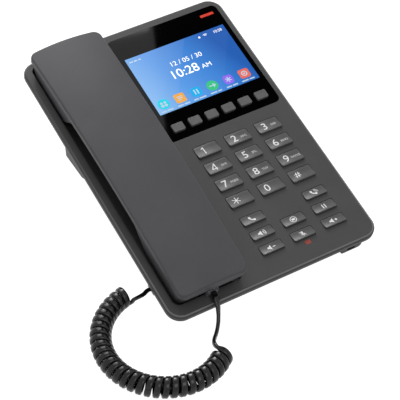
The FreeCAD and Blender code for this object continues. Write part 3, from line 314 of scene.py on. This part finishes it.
front = deckFront[1] / mm
cordLook = {
    "turns": 30, "perTurn": 16, "curlRadius": 5.2, "coilPlace": (-78.2, front - 1.2, 6.8),
    "bendRadius": 37.9, "bendFrom": 97, "bendTo": 305, "endTuck": 2.0, "easeIn": 0.5,
    "width": 4.0, "thickness": 2.9, "sides": 16, "square": 0.88, "ridge": 0.2, "ridgeWidth": 0.28,
    "baseSlim": 0.68, "baseSlimOver": 8, "handsetSlim": 0.9, "handsetSlimOver": 3,
    "onEdgeBy": 0.3, "flatAgain": 0.22,
    "baseExit": (-69.2, front + 33.9, 6.1), "handsetExit": (-42.9, front + 5.55, 17.0),
    "liftStart": (-55.5, front - 18.0, 10), "liftEnd": (-43.6, front - 18.0, 10),
}


def ease(share):
    return share * share * (3 - 2 * share)


# the coil's own line, an arc whose handset end tucks in
def curlAxis(share):
    angle = math.radians(cordLook["bendFrom"] + share * (cordLook["bendTo"] - cordLook["bendFrom"]))
    outward = Vector((math.cos(angle), math.sin(angle), 0))
    tuck = cordLook["endTuck"] * max(0, share * 4 - 3) ** 2
    return Vector(cordLook["coilPlace"]) + outward * (cordLook["bendRadius"] - tuck), outward


# the first half turn winds up slowly, and the last ends at the top
def curlPoint(share):
    turned = cordLook["turns"] * share
    slow = cordLook["easeIn"]
    turned = turned * turned if turned < slow else turned - slow * slow
    last = cordLook["turns"] - slow * slow
    phase = 2 * math.pi * (turned - last) + math.pi / 2
    middle, outward = curlAxis(share)
    radius = cordLook["curlRadius"] / math.cos(math.pi / cordLook["perTurn"])
    return middle + outward * radius * math.cos(phase) + upward * radius * math.sin(phase)


baseExit = Vector(cordLook["baseExit"])
handsetExit = Vector(cordLook["handsetExit"])
handsetForward = Vector((0, -0.9796, -0.2011))
baseLead = [baseExit + Vector(step) for step in ((0, 0, 0), (-2, 0, 0), (-4, -0.7, 0), (-6, -1.9, 0))]
handsetLead = [
    Vector((-59.0, front - 27.6, 11.6)), Vector((-59.4, front - 25.0, 11.2)), Vector((-58.4, front - 22.0, 10.0)),
    Vector((-56.0, front - 18.6, 8.0)), Vector((-52.8, front - 15.2, 6.4)), Vector((-49.2, front - 11.0, 6.5)),
    Vector((-46.0, front - 6.4, 9.2)), handsetExit + handsetForward * 5, handsetExit,
]
curlCount = cordLook["turns"] * cordLook["perTurn"]
curls = [curlPoint(i / curlCount) for i in range(curlCount + 1)]
routePoints = baseLead + curls + handsetLead

routeData = bpy.data.curves.new("cordRoute", "CURVE")
routeData.dimensions = "3D"
routeData.resolution_u = 2
spline = routeData.splines.new("NURBS")
spline.points.add(len(routePoints) - 1)
for point, where in zip(spline.points, routePoints):
    point.co = (*(where * mm), 1)
spline.order_u = 3
spline.use_endpoint_u = True
route = bpy.data.objects.new("cordRoute", routeData)
scene.collection.objects.link(route)
routeMesh = bpy.data.meshes.new_from_object(route)
cordPath = [v.co.copy() for v in routeMesh.vertices]
bpy.data.objects.remove(route)
bpy.data.curves.remove(routeData)
bpy.data.meshes.remove(routeMesh)
cordLength = sum((b - a).length for a, b in zip(cordPath, cordPath[1:]))


# how many route points a station has passed
def pointsPassed(index):
    return index / (len(cordPath) - 1) * (len(routePoints) - 1)


# the flat side faces out of the coil and up at both plugs; the handset lead turns on edge between
def cordUp(index, heading):
    passed = pointsPassed(index)
    share = (passed - len(baseLead)) / curlCount
    middle, outward = curlAxis(min(max(share, 0), 1))
    if share < 0:
        return upward.lerp(-outward, ease(min(1, passed / len(baseLead))))
    if share > 1:
        along = (share - 1) * curlCount / len(handsetLead)
        flat = upward.lerp(deckNormal, min(1, along))
        onEdge = heading.cross(flat).normalized()
        turned = min(1, along / cordLook["onEdgeBy"], max(0, 1 - along) / cordLook["flatAgain"])
        return flat.lerp(onEdge, ease(turned))
    return (cordPath[index] - middle * mm).normalized()


# both straight leads are slimmer than the curled stretch
def cordSlim(index):
    past = pointsPassed(index) - len(baseLead)
    if past < cordLook["baseSlimOver"]:
        slim = cordLook["baseSlim"]
        return slim + (1 - slim) * max(0, past) / cordLook["baseSlimOver"]
    share = min(1, max(0, past - curlCount) / cordLook["handsetSlimOver"])
    return 1 - (1 - cordLook["handsetSlim"]) * share


# two rounded cores side by side, with a shallow groove between them
def cordProfile(ring):
    profile = []
    for vert in ring:
        across, out = (math.copysign(abs(c) ** cordLook["square"], c) for c in vert.co.xy)
        groove = 1 - cordLook["ridge"] * math.exp(-(across / cordLook["ridgeWidth"]) ** 2)
        profile.append(Vector((across * cordLook["width"], out * groove * cordLook["thickness"])) * mm / 2)
    return profile


def makeCord():
    bm = bmesh.new()
    ring = bmesh.ops.create_circle(bm, segments=cordLook["sides"], radius=1)["verts"]
    profile = cordProfile(ring)
    edges = bm.edges[:]
    order = {vert: i for i, vert in enumerate(ring)}
    for index, where in enumerate(cordPath):
        if index:
            grown = bmesh.ops.extrude_edge_only(bm, edges=edges)["geom"]
            follow = {}
            for face in [g for g in grown if isinstance(g, bmesh.types.BMFace)]:
                for edge in face.edges:
                    near, far = sorted(edge.verts, key=lambda v: v not in order)
                    if near in order and far not in order:
                        follow[near] = far
            order = {follow[v]: i for v, i in order.items()}
            edges = [g for g in grown if isinstance(g, bmesh.types.BMEdge)]
            edges = [e for e in edges if all(v in order for v in e.verts)]
        ahead = cordPath[min(index + 1, len(cordPath) - 1)]
        behind = cordPath[max(index - 1, 0)]
        heading = (ahead - behind).normalized()
        up = cordUp(index, heading)
        up = (up - heading * up.dot(heading)).normalized()
        side = heading.cross(up)
        for vert, i in order.items():
            vert.co = where + (side * profile[i].x + up * profile[i].y) * cordSlim(index)
    bm.faces.new(sorted(order, key=order.get))
    bm.faces.new(list(reversed(ring)))
    bmesh.ops.recalc_face_normals(bm, faces=bm.faces)
    for face in bm.faces:
        face.smooth = True
    return meshPiece(bm, "handsetCord", finishes["cord_jacket"])


cord = makeCord()
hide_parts("cord_base_lead", "curly_cord", "cord_handset_lead")
# the coil stays on the desk; the points past the last curl where the lead would rise with the handset are set, but
# nothing uses them
liftStart = Vector(cordLook["liftStart"]) * mm
liftEnd = Vector(cordLook["liftEnd"]) * mm
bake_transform(cord)
print("cord laid, length", round(cordLength, 3))

# flat print: outlines in mm, filled and given a hair of thickness

printLook = {"thick": 0.03, "capShare": 0.73, "weld": 1e-4, "arcStep": 15, "bandSteps": 14}


def arcAt(x, y, radius, start, end, steps):
    turns = [math.radians(start + (end - start) * i / steps) for i in range(steps + 1)]
    return [(x + radius * math.cos(a), y + radius * math.sin(a)) for a in turns]


def boxAt(x, y, width, height):
    return [(x - width / 2, y - height / 2), (x + width / 2, y - height / 2),
            (x + width / 2, y + height / 2), (x - width / 2, y + height / 2)]


def barFrom(x0, y0, x1, y1, thick):
    along = Vector((x1 - x0, y1 - y0)).normalized() * thick / 2
    return [(x0 - along.y, y0 + along.x), (x0 + along.y, y0 - along.x),
            (x1 + along.y, y1 - along.x), (x1 - along.y, y1 + along.x)]


def bandOf(x, y, radius, start, end, thick):
    outer = arcAt(x, y, radius + thick / 2, start, end, printLook["bandSteps"])
    inner = arcAt(x, y, radius - thick / 2, start, end, printLook["bandSteps"])
    return outer + inner[::-1]


def discAt(x, y, radius):
    step = printLook["arcStep"]
    return arcAt(x, y, radius, 0, 360 - step, 360 // step - 1)


def roundBox(x, y, width, height, corner):
    points = []
    for turn, sx, sy in ((0, 1, 1), (90, -1, 1), (180, -1, -1), (270, 1, -1)):
        cx = x + sx * (width / 2 - corner)
        cy = y + sy * (height / 2 - corner)
        points += arcAt(cx, cy, corner, turn, turn + 90, 90 // printLook["arcStep"])
    return points


def addCurve(bm, curve):
    holder = bpy.data.objects.new("flatPrint", curve)
    scene.collection.objects.link(holder)
    mesh = bpy.data.meshes.new_from_object(holder)
    bm.from_mesh(mesh)
    bpy.data.objects.remove(holder)
    bpy.data.curves.remove(curve)
    bpy.data.meshes.remove(mesh)


def addShape(bm, outline, thick=printLook["thick"]):
    curve = bpy.data.curves.new("flatPrint", "CURVE")
    curve.dimensions = "2D"
    curve.fill_mode = "BOTH"
    curve.extrude = thick / 2
    line = curve.splines.new("POLY")
    line.points.add(len(outline) - 1)
    for point, (x, y) in zip(line.points, outline):
        point.co = (x, y, 0, 1)
    line.use_cyclic_u = True
    addCurve(bm, curve)


# words are sized by the height of their capitals and centred on their own box
def addWords(bm, words, height, x, y, weight):
    curve = bpy.data.curves.new("flatPrint", "FONT")
    curve.body = words
    curve.size = height / printLook["capShare"]
    curve.offset = weight
    curve.extrude = printLook["thick"] / 2
    curve.align_x = "CENTER"
    before = len(bm.verts)
    addCurve(bm, curve)
    bm.verts.ensure_lookup_table()
    fresh = bm.verts[before:]
    xs = [v.co.x for v in fresh]
    ys = [v.co.y for v in fresh]
    shift = Vector((x - (min(xs) + max(xs)) / 2, y - (min(ys) + max(ys)) / 2, 0))
    bmesh.ops.translate(bm, verts=fresh, vec=shift)


def finishPiece(bm, name, place, material, body):
    bmesh.ops.remove_doubles(bm, verts=bm.verts, dist=printLook["weld"])
    bmesh.ops.recalc_face_normals(bm, faces=bm.faces)
    bmesh.ops.transform(bm, matrix=place, verts=bm.verts)
    piece = meshPiece(bm, name, material)
    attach(piece, body)
    return piece


# keys: caps with a dished top, and their legends

# pad-printed white ink: a thin layer with slightly uneven cover, brightened by a faint painted glow
glowingLegendInk = moulded("whitePadInk", {
    "darker": "#e2e2e2", "lighter": "#f4f4f4", "roughness": 0.45, "glossSpread": 0.05,
    "grainMm": 0.5, "cloudMm": 3, "bump": 0.02, "glow": "#ffffff", "glowStrength": 0.12,
})
# the small letters in a thinner coat, so greyer
faintInk = moulded("greyPadInk", {
    "darker": "#b8b8b9", "lighter": "#c8c8c9", "roughness": 0.45, "glossSpread": 0.05,
    "grainMm": 0.5, "cloudMm": 3, "bump": 0.02,
})

keyLayout = {
    "columns": (5.4, 27.6, 49.8),
    "digitRow": 57.5, "digitPitch": 13.7, "digitWidth": 16.2, "digitLength": 9.2,
    "functionRow": 19.3, "functionPitch": 11.3, "functionWidth": 15.2, "functionLength": 6.8,
    "flush": 0.12, "wedge": 1.58, "dish": 1.9, "depth": 2.4, "flange": 0.9, "corner": 1.0, "rim": 0.3,
    "cuts": 10, "sharpFrom": 40, "proud": 0.02, "digitHeight": 5.7, "digitShift": -2.7, "digitWeight": 0.03,
    "letterHeight": 1.65, "letterShift": 3.7, "letterDrop": -0.5, "letterWeight": 0.09, "glyphScale": 1.12,
}
digitRows = (("star", "0", "hash"), ("7", "8", "9"), ("4", "5", "6"), ("1", "2", "3"))
functionRows = (
    ("volume_down", "mute", "volume_up"), ("speaker", "message", "hold"), ("line", None, "redial"),
)
letters = {"2": "ABC", "3": "DEF", "4": "GHI", "5": "JKL", "6": "MNO", "7": "PQRS", "8": "TUV", "9": "WXYZ"}
# legends drawn as bars: thickness, then the ends of each bar
strokes = {
    "star": (0.5, [(0, -2.7, 0, 2.7), (-2.34, -1.35, 2.34, 1.35), (-2.34, 1.35, 2.34, -1.35)]),
    "hash": (0.5, [
        (-2.0, -0.8, 2.0, -0.8), (-2.0, 0.8, 2.0, 0.8), (-1.2, -2.2, -0.4, 2.2), (0.4, -2.2, 1.2, 2.2),
    ]),
    "1": (0.64, [(0.5, -2.85, 0.5, 2.85), (0.5, 2.6, -0.9, 1.7)]),
    "4": (0.62, [(0.9, -2.85, 0.9, 2.85), (-1.9, -1.3, 1.9, -1.3), (0.8, 2.8, -1.8, -1.3)]),
}


# a key top is level with the deck at its back and sweeps up to its front edge
def dish(y, length):
    share = min(1, max(0, 0.5 - y / length))
    return keyLayout["flush"] + keyLayout["wedge"] * share ** keyLayout["dish"]


def drape(bm, length):
    for vert in bm.verts:
        vert.co.z += dish(vert.co.y, length) + keyLayout["proud"]


def addBlock(bm, width, length, top, bottom):
    block = bmesh.ops.create_cube(bm, size=1)["verts"]
    bmesh.ops.scale(bm, vec=(width, length, top - bottom), verts=block)
    bmesh.ops.translate(bm, vec=(0, 0, (top + bottom) / 2), verts=block)
    upright = [e for e in bm.edges if e.verts[0] in block and abs(e.verts[0].co.z - e.verts[1].co.z) > 0.1]
    bmesh.ops.bevel(
        bm, geom=upright, offset=keyLayout["corner"], segments=4, profile=0.5, affect="EDGES", material=-1
    )


def makeCap(name, place, width, length):
    bm = bmesh.new()
    under = -keyLayout["depth"]
    addBlock(bm, width, length, 0, under - keyLayout["flange"] / 2)
    for cut in range(1, keyLayout["cuts"]):
        everything = bm.verts[:] + bm.edges[:] + bm.faces[:]
        at = (0, length * (cut / keyLayout["cuts"] - 0.5), 0)
        bmesh.ops.bisect_plane(bm, geom=everything, plane_co=at, plane_no=(0, 1, 0))
    top = [v for v in bm.verts if v.co.z > -0.01]
    for vert in top:
        vert.co.z = dish(vert.co.y, length)
    bm.normal_update()
    rim = [
        e for e in bm.edges
        if all(v in top for v in e.verts) and sum(f.normal.z > 0.5 for f in e.link_faces) == 1
    ]
    bmesh.ops.bevel(
        bm, geom=rim, offset=keyLayout["rim"], segments=3, profile=0.5, affect="EDGES", material=-1
    )
    lip = 2 * keyLayout["flange"]
    addBlock(bm, width + lip, length + lip, under, under - keyLayout["flange"])
    for face in bm.faces:
        face.smooth = True
    piece = finishPiece(bm, "cap_" + name, place, finishes["key_plastic"], "key_" + name)
    piece.data.set_sharp_from_angle(angle=math.radians(keyLayout["sharpFrom"]))
    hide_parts("key_" + name)


def printLegend(bm, name, place, length, kind, ink):
    drape(bm, length)
    finishPiece(bm, kind + "_" + name, place, ink, "key_" + name)


# caps every key of one kind, and gives each one's name, place and length
def keysOf(kind, rows):
    length = keyLayout[kind + "Length"]
    for row, names in enumerate(rows):
        for column, name in enumerate(names):
            if name:
                v = keyLayout[kind + "Row"] + row * keyLayout[kind + "Pitch"]
                place = deck @ Matrix.Translation((keyLayout["columns"][column], v, 0))
                makeCap(name, place, keyLayout[kind + "Width"], length)
                yield name, place, length


for name, place, length in keysOf("digit", digitRows):
    shift = keyLayout["digitShift"]
    bm = bmesh.new()
    if name in strokes:
        thick, lines = strokes[name]
        for x0, y0, x1, y1 in lines:
            addShape(bm, barFrom(shift + x0, y0, shift + x1, y1, thick))
    else:
        addWords(bm, name, keyLayout["digitHeight"], shift, 0, keyLayout["digitWeight"])
    printLegend(bm, name, place, length, "legend", glowingLegendInk)
    if name in letters:
        bm = bmesh.new()
        spot = (keyLayout["letterShift"], keyLayout["letterDrop"])
        addWords(bm, letters[name], keyLayout["letterHeight"], *spot, keyLayout["letterWeight"])
        printLegend(bm, name, place, length, "letters", faintInk)

coneGlyph = [(-2.5, -0.6), (-1.6, -0.6), (-0.3, -1.7), (-0.3, 1.7), (-1.6, 0.6), (-2.5, 0.6)]
receiverGlyph = [bandOf(0.9, 1.7, 2.7, 178, 272, 0.75), discAt(-1.6, 1.1, 0.72), discAt(0.6, -1.0, 0.72)]
functionGlyphs = {
    "volume_down": [coneGlyph, barFrom(0.7, 0, 2.3, 0, 0.5)],
    "volume_up": [coneGlyph, barFrom(0.7, 0, 2.3, 0, 0.5), barFrom(1.5, -0.8, 1.5, 0.8, 0.5)],
    "mute": [roundBox(-0.1, 0.6, 1.2, 2.1, 0.55), bandOf(-0.1, 0.3, 1.25, 200, 340, 0.36),
             barFrom(-0.1, -1.0, -0.1, -1.8, 0.4), barFrom(-1.7, 1.5, 1.5, -1.5, 0.36)],
    "speaker": [coneGlyph, bandOf(-0.3, 0, 1.3, -48, 48, 0.42), bandOf(-0.3, 0, 2.3, -48, 48, 0.42)],
    "message": [bandOf(0, 0, 1.85, 0, 360, 0.4), roundBox(0, 0, 2.1, 1.4, 0.2)],
    "hold": [boxAt(-0.75, 0, 0.6, 3.0), boxAt(0.75, 0, 0.6, 3.0)],
    "line": receiverGlyph,
    "redial": receiverGlyph + [bandOf(-0.1, -0.3, 1.5, 5, 80, 0.34), bandOf(-0.1, -0.3, 2.4, 5, 80, 0.34)],
}
for name, place, length in keysOf("function", functionRows):
    bm = bmesh.new()
    for outline in functionGlyphs[name]:
        addShape(bm, outline)
    grow = keyLayout["glyphScale"]
    bmesh.ops.scale(bm, vec=(grow, grow, 1), verts=bm.verts)
    printLegend(bm, name, place, length, "legend", glowingLegendInk)
print("keys capped and printed")

# display: the lit panel seen through the lens, with a plain clock page

screenLook = {
    "middle": (28.2, 158.9), "size": (73.4, 49.0), "corner": 0.4, "thick": 0.02,
    "panelLift": 0.02, "markLift": 0.05, "glyphLift": 0.03,
    "glow": 0.95, "toneTurn": -14, "veilTurn": 24, "veilShare": 0.35, "gloss": (0.06, 0.12), "dots": 60.0,
    "tones": [(0.0, "#8cc3f8"), (1.0, "#2861b6"), (0.4, "#5c9fec"), (0.72, "#3f86da")],
    "veils": [
        (0.0, "#6f6f6f"), (1.0, "#000000"), (0.14, "#5a5a5a"), (0.15, "#303030"), (0.56, "#2c2c2c"),
        (0.575, "#000000"),
    ],
    # each with its height, its middle and its added weight
    "words": (
        ("10:28", 6.9, -4.7, 0.6, 0.03), ("AM", 3.6, 10.0, -0.9, 0), ("12 / 05 / 30", 3.7, 0.4, 8.8, 0),
        ("10:28", 2.2, 31.0, 21.2, 0),
    ),
    "signs": (
        bandOf(21.5, 20.2, 1.0, 45, 135, 0.4), bandOf(21.5, 20.2, 1.9, 45, 135, 0.4), discAt(17.0, 21.0, 0.75),
    ),
    "statusRow": 21.2, "statusCorner": 0.3, "status": ((-33.6, 2.6), (-30.4, 2.4), (-27.6, 1.8)),
    "labelRow": -22.9, "labelCorner": 0.4, "labelGap": 0.6, "stripHeight": 1.0,
    "labels": ((3.4, 4.4), (4.2, 4.0), (3.4, 5.0), (4.8, 3.0), (3.8, 4.0), (5.0, 3.8)),
    "iconRow": -17.4, "iconPitch": 11.93, "iconFirst": -30.6, "iconScale": 1.3, "iconGlow": 0.55,
}


# LCD behind bonded glass: light at the left, deep blue at the right, two pale slanting veils
def panelGlow():
    mat, tree, shader = newMaterial("litPanel")
    uv = {"Vector": addNode(tree, "TexCoord").outputs["UV"]}
    ramps = []
    for turn, stops in (("toneTurn", "tones"), ("veilTurn", "veils")):
        turned = addNode(tree, "Mapping", {"Rotation": (0, 0, math.radians(screenLook[turn]))}, uv)
        along = addNode(tree, "SeparateXYZ", links={"Vector": turned.outputs["Vector"]})
        ramp = addNode(tree, "ValToRGB", links={"Fac": along.outputs["X"]})
        setRamp(ramp, screenLook[stops])
        ramps.append(ramp.outputs["Color"])
    lit = addNode(
        tree, "Mix", {"Factor": screenLook["veilShare"]}, {6: ramps[0], 7: ramps[1]},
        data_type="RGBA", blend_type="SCREEN",
    )
    dots = addNode(tree, "TexNoise", {"Scale": screenLook["dots"], "Detail": 2.0}, uv)
    low, high = screenLook["gloss"]
    gloss = addNode(tree, "MapRange", {"To Min": low, "To Max": high}, {"Value": dots.outputs["Fac"]})
    tree.links.new(lit.outputs[2], shader.inputs["Emission Color"])
    tree.links.new(gloss.outputs["Result"], shader.inputs["Roughness"])
    shader.inputs["Base Color"].default_value = linear("#0a1428")
    shader.inputs["Emission Strength"].default_value = screenLook["glow"]
    shader.inputs["IOR"].default_value = 1.36  # antireflex film
    return mat


# lit marks on the panel: each colour glows evenly, with the pixel grain just visible
def litMark(name, colour, strength):
    shade = "#" + "".join("%02x" % round(int(colour[i:i + 2], 16) * 0.92) for i in (1, 3, 5))
    return moulded(name, {
        "darker": shade, "lighter": colour, "roughness": 0.15, "glossSpread": 0.03,
        "grainMm": 0.4, "cloudMm": 3, "bump": 0.01, "glow": colour, "glowStrength": strength,
    })


def finishScreen(bm, name, place, material):
    finishPiece(bm, name, place, material, "base")


def screenPlace(lift):
    return deck @ Matrix.Translation((*screenLook["middle"], screenLook[lift]))


bm = bmesh.new()
addShape(bm, roundBox(0, 0, *screenLook["size"], screenLook["corner"]), screenLook["thick"])
uvLayer = bm.loops.layers.uv.verify()
for face in bm.faces:
    for loop in face.loops:
        loop[uvLayer].uv = [loop.vert.co[i] / screenLook["size"][i] + 0.5 for i in (0, 1)]
finishScreen(bm, "litPanel", screenPlace("panelLift"), panelGlow())

whiteMark = litMark("litWhite", "#ffffff", 0.75)
paleMark = litMark("litPale", "#c8e0f4", 0.32)
bm = bmesh.new()
for words in screenLook["words"]:
    addWords(bm, *words)
for outline in screenLook["signs"]:
    addShape(bm, outline)
finishScreen(bm, "litWords", screenPlace("markLift"), whiteMark)

# plain strips stand in for the small words
bm = bmesh.new()
tall = screenLook["stripHeight"]
for x, wide in screenLook["status"]:
    addShape(bm, roundBox(x, screenLook["statusRow"], wide, tall, screenLook["statusCorner"]))
for i, strips in enumerate(screenLook["labels"]):
    gap = screenLook["labelGap"]
    x = screenLook["iconFirst"] + i * screenLook["iconPitch"] - sum(strips) / 2 - gap / 2
    for wide in strips:
        addShape(bm, roundBox(x + wide / 2, screenLook["labelRow"], wide, tall, screenLook["labelCorner"]))
        x += wide + gap
finishScreen(bm, "litLabels", screenPlace("markLift"), paleMark)

# each badge with its colour, its outline and the sign on it
icons = {
    "badgePeople": ("#16cbe0", discAt(0, 0, 3.1), [
        discAt(-0.9, 0.7, 0.7), discAt(1.0, 0.7, 0.7),
        roundBox(-0.9, -1.0, 1.6, 1.6, 0.6), roundBox(1.0, -1.0, 1.6, 1.6, 0.6),
    ]),
    "badgeNote": ("#e8a446", roundBox(0, 0, 5.6, 5.6, 1.0), [
        roundBox(0, 0.9, 2.8, 0.5, 0.2), roundBox(0, -0.1, 2.8, 0.5, 0.2), roundBox(-0.5, -1.1, 1.8, 0.5, 0.2),
    ]),
    "badgeBars": ("#1ba9e2", roundBox(0, 0, 5.4, 5.4, 1.2), [
        boxAt(-0.8, 0, 0.7, 3.0), boxAt(0.8, 0, 0.7, 3.0),
    ]),
    "badgeArrow": ("#3cbc7e", discAt(0, 0, 3.1), [
        barFrom(-1.7, 0, 1.2, 0, 0.6), [(0.5, 1.3), (2.0, 0), (0.5, -1.3)],
    ]),
    "badgeStar": ("#8b66e4", roundBox(0, 0, 5.2, 5.6, 1.6), [
        barFrom(0, -1.7, 0, 1.7, 0.55), barFrom(-1.5, -0.9, 1.5, 0.9, 0.55), barFrom(-1.5, 0.9, 1.5, -0.9, 0.55),
    ]),
    "badgeRing": ("#de6a58", roundBox(0, 0, 5.8, 5.6, 1.2), [
        bandOf(0, 0, 1.35, 0, 360, 0.55), discAt(0, 0, 0.5),
    ]),
}
for i, (name, (colour, badge, glyph)) in enumerate(icons.items()):
    across = screenLook["iconFirst"] + i * screenLook["iconPitch"]
    grow = screenLook["iconScale"]
    spot = screenPlace("markLift") @ Matrix.Translation((across, screenLook["iconRow"], 0))
    spot = spot @ Matrix.Diagonal((grow, grow, 1, 1))
    bm = bmesh.new()
    addShape(bm, badge)
    finishScreen(bm, name, spot, litMark(name + "Glow", colour, screenLook["iconGlow"]))
    bm = bmesh.new()
    for outline in glyph:
        addShape(bm, outline)
    finishScreen(bm, name + "Mark", spot @ Matrix.Translation((0, 0, screenLook["glyphLift"])), paleMark)
print("display lit")

# floor, light and backdrop

room = {"floorSize": 8.0, "paperDark": "#a4a4a4", "paperLight": "#aaaaaa", "paperRoughness": 0.9, "worldLight": 0.3}


# 1 for what the eye sees, straight, in reflections and through clear plastic
def seenRays(tree):
    rays = addNode(tree, "LightPath").outputs
    plain = addNode(tree, "Math", {}, {0: rays["Is Camera Ray"], 1: rays["Is Glossy Ray"]}, operation="ADD")
    clear = {0: plain.outputs[0], 1: rays["Is Transmission Ray"]}
    return addNode(tree, "Math", {}, clear, operation="ADD", use_clamp=True).outputs[0]


# white paper sweep: it takes the soft shadow, and its own glow keeps it white to the eye and in reflections
paper, tree, shader = newMaterial("whitePaper")
fibre = addNode(tree, "TexNoise", {"Scale": 400.0}, {"Vector": addNode(tree, "TexCoord").outputs["Object"]})
tint = addNode(tree, "ValToRGB", links={"Fac": fibre.outputs["Fac"]})
setRamp(tint, [(0.3, room["paperDark"]), (0.7, room["paperLight"])])
tree.links.new(tint.outputs["Color"], shader.inputs["Base Color"])
shader.inputs["Roughness"].default_value = room["paperRoughness"]
glow = addNode(tree, "Emission", {"Color": (1, 1, 1, 1)}, {"Strength": seenRays(tree)})
both = addNode(tree, "AddShader", {}, {0: shader.outputs[0], 1: glow.outputs[0]})
tree.links.new(both.outputs[0], tree.nodes["Material Output"].inputs["Surface"])

bm = bmesh.new()
bmesh.ops.create_grid(bm, x_segments=4, y_segments=4, size=room["floorSize"])
floor = meshPiece(bm, "studioFloor", paper)

world = bpy.data.worlds.new("studio")
scene.world = world
world.use_nodes = True
tree = world.node_tree
levels = {"To Min": room["worldLight"], "To Max": 1.0}
power = addNode(tree, "MapRange", levels, {"Value": seenRays(tree)})
backdrop = tree.nodes["Background"]
backdrop.inputs["Color"].default_value = (1, 1, 1, 1)
tree.links.new(power.outputs["Result"], backdrop.inputs["Strength"])

# soft square panels: place, width in m and power in W; the gloss strip lights nothing but highlights
lamps = {
    "keyPanel": ((0.15, 0.95, 0.95), 0.8, 6.8),
    "topPanel": ((-0.1, -1.0, 1.7), 1.0, 7.2),
    "fillPanel": ((-1.3, -0.9, 1.0), 1.0, 0.7),
    "glossStrip": ((0.3, 1.0, 0.8), 0.3, 3.2),
}
for name, (place, size, power) in lamps.items():
    data = bpy.data.lights.new(name, "AREA")
    data.size = size
    data.energy = power
    lamp = bpy.data.objects.new(name, data)
    lamp.location = place
    lamp.rotation_euler = (-Vector(place)).to_track_quat("-Z", "Y").to_euler()
    lamp.visible_diffuse = name != "glossStrip"
    scene.collection.objects.link(lamp)

# black card over the set: only reflections see it, so the gloss lens stays black but for its far corner
card = {
    "middle": (0.306, 0.231, 0.550), "size": (0.20, 0.24),
    "across": (0.905, -0.350, -0.241), "along": (-0.252, -0.898, 0.360),
}
# velvet: black from any side, with no highlight
velvet = moulded("blackVelvet", {
    "darker": "#020202", "lighter": "#050505", "roughness": 0.95, "glossSpread": 0.02,
    "grainMm": 2.0, "cloudMm": 30, "bump": 0.1, "specular": 0.0,
})
bm = bmesh.new()
bmesh.ops.create_grid(bm, x_segments=2, y_segments=2, size=0.5)
across = Vector(card["across"]) * card["size"][0]
along = Vector(card["along"]) * card["size"][1]
spread = Matrix((across, along, across.cross(along).normalized())).transposed().to_4x4()
bmesh.ops.transform(bm, matrix=Matrix.Translation(card["middle"]) @ spread, verts=bm.verts)
blackCard = meshPiece(bm, "blackCard", velvet)
blackCard.visible_camera = False
blackCard.visible_diffuse = False
blackCard.visible_shadow = False
blackCard.visible_transmission = False
print("light set")
